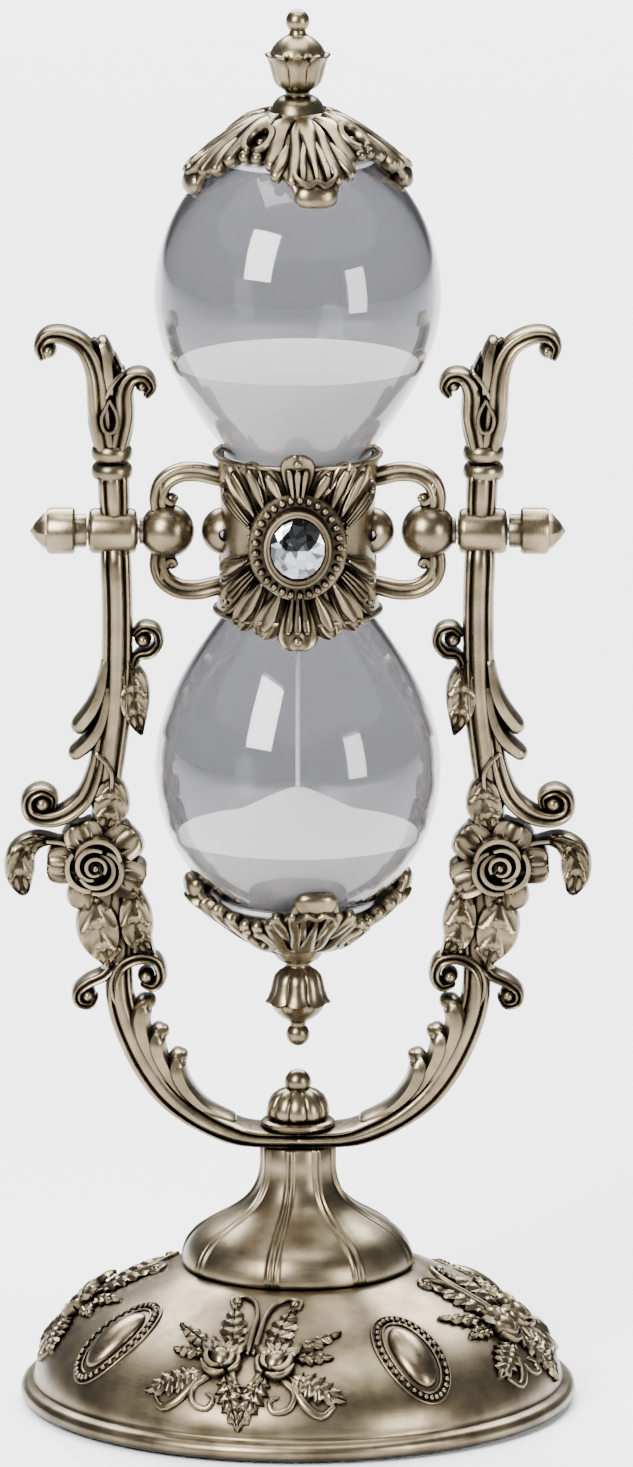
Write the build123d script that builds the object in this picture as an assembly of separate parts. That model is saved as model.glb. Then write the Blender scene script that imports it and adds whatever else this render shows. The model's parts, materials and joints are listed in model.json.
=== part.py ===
from build123d import *
from math import acos, cos, pi, sin, sqrt
import os

os.makedirs("parts", exist_ok=True)

# A turning hourglass: a glass vial in a metal cradle, on a domed base.
# Sizes are in millimetres. +X is to the right, +Y to the back and +Z up.
# The origin is under the middle of the base, on the surface that it stands on.

# Base: a cast dome, closed below by a plate with a felt pad
base_radius = 60.0
dome_height = 29.5
dome_seat_radius = 26.0
base_wall = 2.4
rim_height = 4.0
rim_step = 3.0
foot_lift = 0.4
felt_thickness = 1.0
plate_thickness = 1.2
plate_ledge = 1.4

# Bell: the hollow column between the dome and the cradle
bell_radius = 25.0
bell_neck_radius = 7.6
bell_height = 26.7
bell_wall = 2.2

# Tie: the rod that clamps dome, bell and cradle together
rod_radius = 2.5
rod_below = 8.0
washer_radius = 7.0
washer_thickness = 1.2
nut_across_flats = 8.0
nut_thickness = 3.8
strap_washer_radius = 8.0
strap_washer_thickness = 1.8
acorn_radius = 7.0
acorn_height = 10.8
acorn_ball_radius = 2.9

# Vial: two bulbs that meet in a neck, at the height of the turning axis
bulb_radius = 30.7
bulb_offset = 51.5
bulb_crown = 34.3
glass_wall = 1.4
neck_radius = 6.3
orifice_radius = 1.3
fill_hole_radius = 3.0
plug_head = 1.5
sand_gap = 0.15
upper_sand_level = 37.0
upper_sand_dip = 1.5
lower_sand_level = 66.0
lower_sand_peak = 56.0
lower_pile_radius = 15.0
stream_radius = 0.5

# Caps and finials at both ends of the vial
cap_radius = 22.9
cap_skirt_radius = 17.5
cap_thickness = 2.3
cap_leaf_arc = 40.0
cap_leaf_turn = 10.0
cap_leaves = 4
cap_collar_radius = 5.4
cap_collar_rise = 6.0
pad_thickness = 0.8
pad_inner_radius = 8.0
finial_height = 18.5
finial_rim_radius = 6.9
finial_ball_radius = 2.4
stud_radius = 1.5
stud_length = 4.0

# Waist band: two cast halves screwed together around the neck, on soft rings
band_half_height = 17.0
band_wall = 1.8
liner_thickness = 0.6
liner_height = 5.5
side_ball_radius = 5.2
screw_radius = 1.3
screw_head_radius = 2.3
screw_head_height = 1.4
screw_recess = 1.6
medallion_thickness = 2.8
medallion_half_height = 21.5
bezel_half_width = 9.8
bezel_half_height = 11.0
bezel_depth = 3.6
gem_half_width = 6.2
gem_half_height = 6.8
gem_depth = 2.6

# Turning axis: a pin at each side, fixed in the bracket and the knob
pin_radius = 2.0
running_clearance = 0.05
turn_gap = 0.3
sleeve_radius = 3.2
sleeve_length = 10.7
boss_radius = 4.9
boss_length = 10.3
pivot_ball_radius = 5.9
pin_in_ball = 8.0
bar_radius = 2.1
bracket_rise = 12.9
bracket_corner = 5.5
knob_radius = 5.0
knob_neck_radius = 3.6
knob_neck_length = 2.5
knob_body_length = 6.0
knob_tip_length = 3.7

# Cradle: one casting, a strap that turns up into two arms
strap_thickness = 3.8
strap_half_width = 7.5
arm_half_depth = 4.25
arm_width = 6.9
bulb_clearance = 5.4
finial_clearance = 5.2
ring_radius = 4.45
ring_height = 3.7

# Places that follow from the sizes above
bell_foot = dome_height
bell_top = bell_foot + bell_height
strap_top = bell_top + strap_thickness
acorn_foot = strap_top + strap_washer_thickness
acorn_top = acorn_foot + acorn_height
swing_reach = bulb_offset + bulb_crown + cap_collar_rise + 2.9 + finial_height
pivot_height = acorn_top + finial_clearance + swing_reach
arm_reach = bulb_radius + bulb_clearance + arm_width / 2
plate_seat_radius = base_radius - rim_step - base_wall + plate_ledge
pivot = Pos(0, 0, pivot_height)

# The arms are drawn for a turning axis this far above the strap and this far out
drawn_axis_height = 131.0
drawn_reach = 39.55


def elevation(face):
    """A face drawn in X and Z, stood up in the plane Y = 0."""
    return Plane.XZ * face


def turned(*edges):
    """A solid of revolution about Z from edges drawn as radius and height."""
    return revolve(elevation(make_face(list(edges))), axis=Axis.Z)


def rod_along_x(radius, start, end):
    """A round bar on the X axis, from start to end."""
    middle = (start + end) / 2
    return Pos(middle, 0, 0) * Rot(0, 90, 0) * Cylinder(radius, abs(end - start))


def oval_plate(half_width, half_height, front, back):
    """An upright oval plate between two places on Y."""
    face = elevation(Ellipse(half_width, half_height))
    return Pos(0, back, 0) * extrude(face, back - front)


def both_ends(piece):
    """The same piece at the upper and the lower end of the vial."""
    return piece, mirror(piece, about=Plane.XY)


def left_and_right(piece):
    """A piece drawn at the right, and its twin at the left."""
    return mirror(piece, about=Plane.YZ), piece


# ---- the vial's shape, with heights counted from the turning axis ----


def bulb_width(rise, inset=0.0):
    """The vial's radius between its neck and its widest place."""
    swell = (1 - cos(pi * (rise / bulb_offset) ** 0.8)) / 2
    return neck_radius + (bulb_radius - neck_radius) * swell - inset


def crown_height(radius, grow=0.0):
    """The height of the bulb's round end at a radius, grown outwards."""
    share = radius / (bulb_radius + grow)
    return bulb_offset + (bulb_crown + grow) * sqrt(1 - share * share)


def bulb_side(low, high, inset=0.0, steps=9):
    """The bulb's flank as a curve, from a low to a high place."""
    stations = [low + (high - low) * i / steps for i in range(steps + 1)]
    return Spline([(bulb_width(rise, inset), rise) for rise in stations])


def crown_curve(start, end, grow=0.0, steps=9):
    """The bulb's round end as a curve between two radii."""
    wide = bulb_radius + grow
    tall = bulb_crown + grow
    first = acos(start / wide)
    last = acos(end / wide)
    turns = [first + (last - first) * i / steps for i in range(steps + 1)]
    return Spline([(wide * cos(turn), bulb_offset + tall * sin(turn)) for turn in turns])


def make_vial():
    outer_flank = bulb_side(0, bulb_offset)
    inner_flank = bulb_side(0.25 * bulb_offset, bulb_offset, glass_wall)
    throat = Spline(
        [(orifice_radius, 0), inner_flank @ 0],
        tangents=[(0, 1), inner_flank % 0],
    )
    outer_crown = crown_curve(bulb_radius, fill_hole_radius)
    inner_crown = crown_curve(bulb_radius - glass_wall, fill_hole_radius, -glass_wall)
    half = turned(
        Line((orifice_radius, 0), (neck_radius, 0)),
        outer_flank,
        outer_crown,
        Line(outer_crown @ 1, inner_crown @ 1),
        inner_crown,
        inner_flank,
        throat,
    )
    lower = mirror(half, about=Plane.XY)
    seal_height = crown_height(fill_hole_radius, 0)
    seal = Pos(0, 0, -seal_height + glass_wall / 2) * Cylinder(
        fill_hole_radius + 0.4, glass_wall
    )
    return half + lower + seal


def make_fill_plug():
    top = crown_height(fill_hole_radius)
    stem = Pos(0, 0, top - glass_wall) * Cylinder(fill_hole_radius, 2 * glass_wall)
    head = Pos(0, 0, top + plug_head / 2) * Cylinder(fill_hole_radius * 0.9, plug_head)
    return stem + head


def make_upper_sand():
    inset = glass_wall + sand_gap
    low = 0.25 * bulb_offset
    flank = bulb_side(low, upper_sand_level, inset)
    return turned(
        Line((0, low), flank @ 0),
        flank,
        Line(flank @ 1, (0, upper_sand_level - upper_sand_dip)),
        Line((0, upper_sand_level - upper_sand_dip), (0, low)),
    )


def make_lower_sand():
    """A heap in the lower bulb, drawn the other way up."""
    inset = glass_wall + sand_gap
    level_share = (lower_sand_level - bulb_offset) / (bulb_crown - inset)
    edge_radius = (bulb_radius - inset) * sqrt(1 - level_share**2)
    floor = crown_curve(edge_radius, 0, -inset)
    heap = (lower_pile_radius, lower_sand_level - 3.5)
    peak = (0, lower_sand_peak)
    solid = turned(
        Line(peak, heap),
        Line(heap, floor @ 0),
        floor,
        Line(floor @ 1, peak),
    )
    return mirror(solid, about=Plane.XY)


def make_sand_stream():
    top = 0.25 * bulb_offset - sand_gap
    bottom = -lower_sand_peak + sand_gap
    return Pos(0, 0, (top + bottom) / 2) * Cylinder(stream_radius, top - bottom)


# ---- caps and finials ----


def cap_body():
    """The cap's round skirt and its collar, with a hole for the finial's stud."""
    inner_radius = fill_hole_radius + 1.0
    edge = cap_skirt_radius
    inner_curve = crown_curve(inner_radius, edge, pad_thickness)
    rim = crown_height(edge, pad_thickness)
    top = bulb_offset + bulb_crown + cap_collar_rise
    mid_radius = (cap_collar_radius + edge) * 0.45
    mid_height = crown_height(mid_radius, pad_thickness) + cap_thickness * 1.25
    outer_curve = Spline(
        [(edge, rim + cap_thickness), (mid_radius, mid_height), (cap_collar_radius, top)]
    )
    return turned(
        inner_curve,
        Line((edge, rim), (edge, rim + cap_thickness)),
        outer_curve,
        Line((cap_collar_radius, top), (stud_radius, top)),
        Line((stud_radius, top), (stud_radius, top - stud_length)),
        Line((stud_radius, top - stud_length), (inner_radius, top - stud_length)),
        Line((inner_radius, top - stud_length), inner_curve @ 0),
    )


def cap_leaf():
    """The tip of one main leaf, which reaches down over the glass."""
    root = cap_skirt_radius - 3.0
    curve = crown_curve(root, cap_radius, pad_thickness + 0.1)
    tip_top = (cap_radius, crown_height(cap_radius) + cap_thickness + pad_thickness)
    root_top = (root, crown_height(root) + 0.7 * cap_thickness + pad_thickness)
    face = make_face(
        [
            curve,
            Line(curve @ 1, tip_top),
            Line(tip_top, root_top),
            Line(root_top, curve @ 0),
        ]
    )
    return revolve(elevation(face), axis=Axis.Z, revolution_arc=cap_leaf_arc)


def make_cap():
    cap = cap_body()
    leaf = cap_leaf()
    first = -90 + cap_leaf_turn - cap_leaf_arc / 2
    for number in range(cap_leaves):
        cap += Rot(0, 0, first + 360 / cap_leaves * number) * leaf
    return cap


def make_cap_pad():
    """The soft ring between the glass and the cap."""
    edge = cap_skirt_radius - 1.0
    below = crown_curve(pad_inner_radius, edge, 0.05)
    above = crown_curve(pad_inner_radius, edge, pad_thickness - 0.05)
    return turned(below, Line(below @ 1, above @ 1), above, Line(above @ 0, below @ 0))


def make_finial():
    """A lotus bud with a ball on top, on a stud that screws into the cap."""
    foot = bulb_offset + bulb_crown + cap_collar_rise
    waist = foot + 3.6
    rim = foot + 11.7
    top = foot + 2.9 + finial_height
    cup = Spline([(2.7, waist), (4.6, waist + 3.2), (finial_rim_radius, rim)])
    crown = Spline([(finial_rim_radius - 0.4, rim + 0.8), (4.0, rim + 2.6), (1.6, rim + 4.6)])
    ball = Pos(0, 0, top - finial_ball_radius) * Sphere(finial_ball_radius)
    body = turned(
        Line((0, foot), (3.4, foot)),
        Line((3.4, foot), (2.7, waist)),
        cup,
        Line(cup @ 1, crown @ 0),
        crown,
        Line(crown @ 1, (1.6, top - finial_ball_radius)),
        Line((1.6, top - finial_ball_radius), (0, top - finial_ball_radius)),
        Line((0, top - finial_ball_radius), (0, foot)),
    )
    stud = Pos(0, 0, foot - stud_length / 2) * Cylinder(stud_radius, stud_length)
    return body + ball + stud


# ---- waist band, bezels and gems ----

band_inner = bulb_width(band_half_height) + liner_thickness
band_outer = band_inner + band_wall
side_ball_x = band_outer - 2.1
bezel_back = band_outer - 0.4
bezel_front = bezel_back + bezel_depth


def make_liner():
    """A soft ring between the glass and the band's edge."""
    low = band_half_height - liner_height
    flank = bulb_side(low, band_half_height, -0.05)
    edge = band_inner
    return turned(
        flank,
        Line(flank @ 1, (edge, band_half_height)),
        Line((edge, band_half_height), (edge, low)),
        Line((edge, low), flank @ 0),
    )


def medallion_shell():
    """A ring that follows the glass, from which the cast medallions are cut."""
    flat = band_half_height - 3.0
    reach = medallion_half_height + 1.0
    flare = bulb_width(reach) + 0.6
    inner = [(band_outer - 0.8, -flat), (band_outer - 0.8, flat), (flare, reach)]
    outer = [
        (flare + medallion_thickness, reach),
        (band_outer + medallion_thickness, flat),
        (band_outer + medallion_thickness, -flat),
        (flare + medallion_thickness, -reach),
    ]
    return turned(Polyline(inner + outer + [(flare, -reach), inner[0]]))


def medallion_outline():
    """The lobed outline of flowers and palmettes around the gem."""
    shape = Ellipse(bezel_half_width + 2.2, bezel_half_height + 2.2)
    crest = medallion_half_height - 6.0
    for side in (-1, 1):
        shape += Pos(0, side * crest) * Circle(6.0)
        for hand in (-1, 1):
            shape += Pos(hand * 8.0, side * (crest - 2.5)) * Circle(5.0)
            shape += Pos(hand * 12.5, side * (crest - 7.5)) * Circle(4.0)
    return shape


def make_band_half(brackets):
    """The front half of the band, cut to seat the brackets, screws and bezel."""
    high = 2 * band_half_height
    ring = Cylinder(band_outer, high) - Cylinder(band_inner, high)
    front = extrude(elevation(medallion_outline()), 2 * band_outer)
    body = ring + (medallion_shell() & front)
    for hand in (-1, 1):
        body += Pos(hand * side_ball_x, 0, 0) * Sphere(side_ball_radius)
        screw_hole = Pos(hand * side_ball_x, 0, 0) * Rot(90, 0, 0) * Cylinder(
            screw_radius, 3 * side_ball_radius
        )
        body -= screw_hole
    body -= oval_plate(bezel_half_width, bezel_half_height, -2 * band_outer, -bezel_back)
    for bracket in brackets:
        body -= bracket
    keep = Pos(0, -2 * band_outer, 0) * Box(6 * band_outer, 4 * band_outer, 6 * band_outer)
    return body & keep


def make_bezel():
    ring = oval_plate(bezel_half_width, bezel_half_height, -bezel_front, -bezel_back)
    ring = chamfer(ring.faces().sort_by(Axis.Y)[0].edges(), 0.6)
    seat = oval_plate(gem_half_width, gem_half_height, -bezel_front, -bezel_front + gem_depth)
    return ring - seat


def make_gem():
    """An oval stone with a bevelled crown, seated in the bezel."""
    back = -bezel_front + gem_depth
    stone = oval_plate(gem_half_width, gem_half_height, back - gem_depth, back)
    table = elevation(Ellipse(gem_half_width * 0.55, gem_half_height * 0.55))
    girdle = elevation(Ellipse(gem_half_width, gem_half_height))
    front = back - gem_depth
    crown = loft([Pos(0, front, 0) * girdle, Pos(0, front - 1.4, 0) * table])
    return stone + crown


def make_clamp_screws():
    """Two screws that enter from the back, with their heads let into the balls."""
    head_seat = side_ball_radius - screw_recess
    screws = []
    for hand in (-1, 1):
        shank = Rot(90, 0, 0) * Cylinder(screw_radius, 2 * head_seat)
        head = Pos(0, side_ball_radius + screw_head_height / 2 - 0.4, 0) * Rot(
            90, 0, 0
        ) * Cylinder(screw_head_radius, screw_head_height)
        neck_length = side_ball_radius - head_seat
        neck = Pos(0, head_seat + neck_length / 2, 0) * Rot(90, 0, 0) * Cylinder(
            screw_radius, neck_length
        )
        screws.append(Pos(hand * side_ball_x, 0, 0) * (shank + neck + head))
    return screws


# ---- turning axis, on the right-hand side ----

sleeve_start = arm_reach - sleeve_length / 2
sleeve_end = arm_reach + sleeve_length / 2
pivot_ball_x = sleeve_start - turn_gap - pivot_ball_radius
knob_start = sleeve_end + turn_gap
knob_end = knob_start + knob_neck_length + knob_body_length
pin_start = pivot_ball_x + pivot_ball_radius - pin_in_ball
pin_end = knob_end - 1.5


def make_bracket():
    """A C of round bar that joins the band to the ball on the turning axis."""
    outside = pivot_ball_x + 1.3
    inside = band_inner + 0.4
    path = FilletPolyline(
        (inside, 0, bracket_rise - 0.7),
        (outside, 0, bracket_rise),
        (outside, 0, 0),
        radius=bracket_corner,
    )
    bar = sweep(Plane(path @ 0, z_dir=path % 0) * Circle(bar_radius), path=path)
    ball = Pos(pivot_ball_x, 0, 0) * Sphere(pivot_ball_radius)
    bore = rod_along_x(pin_radius, pin_start, pin_end)
    return bar + mirror(bar, about=Plane.XY) + ball - bore


def make_pin():
    return rod_along_x(pin_radius, pin_start, pin_end)


def make_knob():
    shoulder = knob_start + knob_neck_length
    tip = knob_end + knob_tip_length
    body = rod_along_x(knob_neck_radius, knob_start, shoulder)
    body += rod_along_x(knob_radius, shoulder, knob_end)
    cone = Pos((knob_end + tip) / 2, 0, 0) * Rot(0, 90, 0) * Cone(
        knob_radius * 0.84, 0.9, knob_tip_length
    )
    return body + cone - rod_along_x(pin_radius, pin_start, pin_end)


def make_sleeve():
    outside = rod_along_x(sleeve_radius, sleeve_start, sleeve_end)
    return outside - rod_along_x(pin_radius + running_clearance, sleeve_start, sleeve_end)


# ---- cradle ----


def arm_place(out, up):
    """A place on the right arm: out from the middle and up from the strap."""
    x = out * arm_reach / drawn_reach
    if up <= 0:
        return x, strap_top + up
    if up >= drawn_axis_height:
        return x, pivot_height + up - drawn_axis_height
    return x, strap_top + up * (pivot_height - strap_top) / drawn_axis_height


def arm_shape(depth, *places):
    """A flat piece of the arm with a smooth closed outline, centred on Y = 0."""
    curve = Spline([arm_place(*place) for place in places], periodic=True)
    return Pos(0, depth / 2, 0) * extrude(elevation(make_face(curve)), depth)


def arm_scroll(out, up, radius, depth, eye):
    """A curled-up end: a rounded disc with a ball for its eye, as wide as the arm asks."""
    x, z = arm_place(out, up)
    wider = arm_reach / drawn_reach
    disc = fillet(Cylinder(radius * wider, depth).edges(), depth * 0.3)
    return Pos(x, 0, z) * (Rot(90, 0, 0) * disc + Sphere(eye))


def arm_bar(outside, inside, tangents=None):
    """A thick bar of the arm between two open curves, wide enough to be trimmed."""
    out_tangents, in_tangents = tangents or (None, None)
    out_curve = Spline(outside, tangents=out_tangents)
    in_curve = Spline(inside, tangents=in_tangents)
    face = make_face(
        [
            out_curve,
            Line(outside[-1], inside[0]),
            in_curve,
            Line(inside[-1], outside[0]),
        ]
    )
    return Pos(0, 2 * strap_half_width, 0) * extrude(elevation(face), 4 * strap_half_width)


def make_stem():
    """The strap, the bow that turns up from it, and the column above."""
    under = [(15, 0.5 - strap_thickness), (25, 2.0), (32, 9.0), (37.5, 17.5), (41, 28)]
    under += [(43.2, 45), (43.6, 60), (43.2, 72)]
    over = [(39.4, 72), (38.8, 58), (37.3, 42), (35.2, 30), (31.3, 20), (26, 11.8)]
    over += [(20, 5.2), (14, 1.6)]
    flat = strap_washer_radius
    under_points = [arm_place(flat, -strap_thickness)] + [arm_place(*place) for place in under]
    over_points = [arm_place(*place) for place in over] + [arm_place(flat, 0)]
    bow = arm_bar(under_points, over_points, ([(1, 0), (0, 1)], [(0, -1), (-1, 0)]))
    flat_reach = max(flat, under_points[0][0])
    strap = Pos(0, 0, strap_top - strap_thickness / 2) * Box(
        2 * flat_reach, 4 * strap_half_width, strap_thickness
    )
    outside = [(44.4, 66), (44.4, 78), (43.0, 92), (42.4, 112), (42.8, 149)]
    inside = [(36.2, 149), (35.5, 122), (35.3, 102), (36.2, 84), (38.2, 66)]
    column = arm_bar(
        [arm_place(*place) for place in outside], [arm_place(*place) for place in inside]
    )
    bar = strap + bow + column
    narrow_from = arm_place(0, 32)[1]
    side = Polyline(
        (-strap_half_width, 0),
        (strap_half_width, 0),
        (strap_half_width, strap_top + 4),
        (arm_half_depth, narrow_from),
        (arm_half_depth, 2 * pivot_height),
        (-arm_half_depth, 2 * pivot_height),
        (-arm_half_depth, narrow_from),
        (-strap_half_width, strap_top + 4),
        close=True,
    )
    width = extrude(Plane.YZ * make_face(side), 3 * arm_reach)
    return bar & width


def make_lower_ornaments():
    """The curls and leaf tips where the strap turns up into the arm."""
    outer_curl = arm_scroll(45.2, 29.5, 3.9, 5.0, 3.2)
    inner_curl = arm_scroll(32.9, 33.8, 4.8, 5.0, 3.4)
    tips = arm_shape(7.4, (37, 24), (36.5, 29), (31.5, 29.9), (29.2, 28), (33, 22))
    tips += arm_shape(8.4, (33, 14), (32.5, 22), (29.5, 22.9), (27.5, 20.5), (29.5, 14))
    tips += arm_shape(9.4, (28, 10), (28.3, 16.5), (25.5, 17.6), (23.3, 15), (24, 9))
    leaf_out = arm_shape(5.6, (44, 49), (47.5, 46), (46, 40), (40.5, 36.3), (39, 42), (40, 49))
    leaf_in = arm_shape(6.2, (35, 51), (32, 47), (31.3, 42), (32.5, 40), (38, 41), (39, 50))
    return outer_curl + inner_curl + tips + leaf_out + leaf_in


def make_rose():
    """A rose with five petals, a drooping leaf and a bud above it."""
    x, z = arm_place(43.4, 58)
    heart = fillet(Cylinder(6.6, 12).edges(), 2.0)
    rose = Pos(x, 0, z) * Rot(90, 0, 0) * heart
    petals = [(37.0, 63.5, 4.2), (36.6, 55, 4.2), (45.5, 51, 4.2), (50.8, 57, 3.6), (45.5, 63.8, 4.0)]
    for out, up, radius in petals:
        petal_x, petal_z = arm_place(out, up)
        petal = fillet(Cylinder(radius, 9).edges(), 1.5)
        rose += Pos(petal_x, 0, petal_z) * Rot(90, 0, 0) * petal
    droop = arm_shape(4.6, (50, 66), (57.5, 66.5), (62, 61), (63.3, 56), (59, 51.6), (56.8, 56), (54, 61))
    bud = arm_shape(9.4, (40, 67), (36, 71), (37, 76), (41, 78), (44, 75), (43.5, 69))
    return rose + droop + bud


def make_outer_scrolls():
    """The big scroll, the double lobe above it and the small curls inside."""
    scroll = arm_scroll(54.8, 70.8, 4.7, 5.6, 3.4)
    scroll += arm_shape(5.0, (43, 82), (46, 75), (50.5, 72), (56, 68), (51, 66), (42, 70))
    lobes = arm_shape(6.5, (39, 96), (45.2, 93.5), (49, 89), (49.3, 85), (46, 80.5), (40, 81))
    leaf = arm_shape(6.0, (38.5, 103), (33, 101.5), (31, 97.5), (33.2, 88), (37, 86.5), (39, 95))
    curl = arm_scroll(32.9, 107.6, 4.3, 5.0, 3.2)
    curl += arm_shape(4.4, (37.5, 116), (38.5, 108), (36, 103), (33, 105), (35, 111))
    return scroll + lobes + leaf + curl


def make_arm_head():
    """The rings, the leaf and the hook above the turning axis."""
    head = arm_shape(8.0, (36.5, 147.5), (35.2, 156), (35, 163), (38, 169), (43, 169), (45, 160), (42.5, 147.5))
    for up in (144.15, 148.15):
        x, z = arm_place(39.8, up)
        head += Pos(x, 0, z) * fillet(Cylinder(ring_radius, ring_height).edges(), 1.5)
    head += arm_shape(6.4, (42, 163), (46, 168), (50, 171), (54, 172), (51, 176), (45, 175.4), (40, 170))
    head += arm_scroll(53.2, 172.4, 3.6, 5.0, 3.0)
    head += arm_shape(5.8, (37, 158), (33, 160), (30.6, 163), (33, 166.8), (37.5, 167), (40, 161))
    return head


def make_cradle():
    """The whole casting, with its bosses bored for the sleeves and the rod."""
    arm = make_stem()
    arm += make_lower_ornaments()
    arm += make_rose()
    arm += make_outer_scrolls()
    arm += make_arm_head()
    boss = rod_along_x(boss_radius, arm_reach - boss_length / 2, arm_reach + boss_length / 2)
    arm += pivot * boss
    arm -= pivot * rod_along_x(sleeve_radius, arm_reach - sleeve_length, arm_reach + sleeve_length)
    rod_hole = Pos(0, 0, strap_top) * Cylinder(rod_radius, 4 * strap_thickness)
    return arm + mirror(arm, about=Plane.YZ) - rod_hole


# ---- base, bell and tie ----


def make_base_dome():
    foot_radius = base_radius - rim_step
    dome_start = rim_height + 1.5
    outer = Bezier(
        (foot_radius, dome_start),
        (foot_radius - 1.5, dome_start + 0.4 * (dome_height - dome_start)),
        ((foot_radius + dome_seat_radius) / 2, dome_height - 6.0),
        (dome_seat_radius, dome_height),
    )
    inner_foot = foot_radius - base_wall
    ceiling = dome_height - base_wall
    inner = Bezier(
        (inner_foot, dome_start),
        (inner_foot - 1.5, dome_start + 0.36 * (ceiling - dome_start)),
        ((inner_foot + dome_seat_radius) / 2, ceiling - 6.6),
        (dome_seat_radius, ceiling),
    )
    ledge = felt_thickness + plate_thickness
    bead_middle = (foot_lift + rim_height) / 2
    bead = ThreePointArc(
        (base_radius - 1.2, foot_lift), (base_radius, bead_middle), (base_radius - 1.2, rim_height)
    )
    section = [
        Line((plate_seat_radius, foot_lift), bead @ 0),
        bead,
        Line(bead @ 1, (foot_radius, rim_height)),
        Line((foot_radius, rim_height), outer @ 0),
        outer,
        Line(outer @ 1, (rod_radius, dome_height)),
        Line((rod_radius, dome_height), (rod_radius, ceiling)),
        Line((rod_radius, ceiling), inner @ 1),
        inner,
        Line(inner @ 0, (inner_foot, ledge)),
        Line((inner_foot, ledge), (plate_seat_radius, ledge)),
        Line((plate_seat_radius, ledge), (plate_seat_radius, foot_lift)),
    ]
    return turned(*section)


def make_bell():
    outer = Bezier(
        (bell_radius, bell_foot + 1.3),
        (bell_radius - 1.5, bell_foot + 0.45 * bell_height),
        (bell_neck_radius + 0.6, bell_foot + 0.34 * bell_height),
        (bell_neck_radius, bell_foot + 0.84 * bell_height),
    )
    inner_top = bell_foot + 0.55 * bell_height
    inner = Bezier(
        (bell_radius - bell_wall, bell_foot),
        (bell_radius - 1.7 * bell_wall, bell_foot + 0.34 * bell_height),
        (bell_neck_radius, bell_foot + 0.24 * bell_height),
        (bell_neck_radius - bell_wall, inner_top),
    )
    return turned(
        Line((bell_radius - bell_wall, bell_foot), (bell_radius, bell_foot)),
        Line((bell_radius, bell_foot), outer @ 0),
        outer,
        Line(outer @ 1, (bell_neck_radius, bell_top)),
        Line((bell_neck_radius, bell_top), (rod_radius, bell_top)),
        Line((rod_radius, bell_top), (rod_radius, inner_top)),
        Line((rod_radius, inner_top), inner @ 1),
        inner,
    )


def make_felt_pad():
    return Pos(0, 0, felt_thickness / 2) * Cylinder(plate_seat_radius - 0.4, felt_thickness)


def make_bottom_plate():
    middle = felt_thickness + plate_thickness / 2
    return Pos(0, 0, middle) * Cylinder(plate_seat_radius, plate_thickness)


tie_washer_foot = dome_height - base_wall - washer_thickness
tie_nut_foot = tie_washer_foot - nut_thickness
rod_foot = dome_height - base_wall - rod_below
rod_top = acorn_foot + 0.45 * acorn_height


def make_tie_rod():
    return Pos(0, 0, (rod_foot + rod_top) / 2) * Cylinder(rod_radius, rod_top - rod_foot)


def make_tie_washer():
    washer = Cylinder(washer_radius, washer_thickness) - Cylinder(rod_radius, washer_thickness)
    return Pos(0, 0, tie_washer_foot + washer_thickness / 2) * washer


def make_tie_nut():
    hexagon = RegularPolygon(nut_across_flats / 2, 6, major_radius=False) - Circle(rod_radius)
    return Pos(0, 0, tie_nut_foot) * extrude(hexagon, nut_thickness)


def make_strap_washer():
    height = strap_washer_thickness
    disc = fillet(Cylinder(strap_washer_radius, height).edges(), 0.35 * height)
    return Pos(0, 0, strap_top + height / 2) * (disc - Cylinder(rod_radius, height))


def make_acorn_nut():
    shoulder = acorn_top - 2 * acorn_ball_radius + 0.6
    dome = Spline(
        [(acorn_radius, acorn_foot + 1.5), (0.82 * acorn_radius, acorn_foot + 4.0), (2.6, shoulder)]
    )
    ball = Pos(0, 0, acorn_top - acorn_ball_radius) * Sphere(acorn_ball_radius)
    body = turned(
        Line((0, acorn_foot), (acorn_radius, acorn_foot)),
        Line((acorn_radius, acorn_foot), dome @ 0),
        dome,
        Line(dome @ 1, (0, shoulder)),
        Line((0, shoulder), (0, acorn_foot)),
    )
    rod = Pos(0, 0, (acorn_foot + rod_top) / 2) * Cylinder(rod_radius, rod_top - acorn_foot)
    return body + ball - rod


# ---- the whole assembly ----


def make_stand():
    sleeve_left, sleeve_right = left_and_right(pivot * make_sleeve())
    return {
        "base_dome": make_base_dome(),
        "bottom_plate": make_bottom_plate(),
        "felt_pad": make_felt_pad(),
        "bell_column": make_bell(),
        "tie_rod": make_tie_rod(),
        "tie_washer": make_tie_washer(),
        "tie_nut": make_tie_nut(),
        "cradle_yoke": make_cradle(),
        "strap_washer": make_strap_washer(),
        "acorn_nut": make_acorn_nut(),
        "pivot_sleeve_left": sleeve_left,
        "pivot_sleeve_right": sleeve_right,
    }


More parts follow.
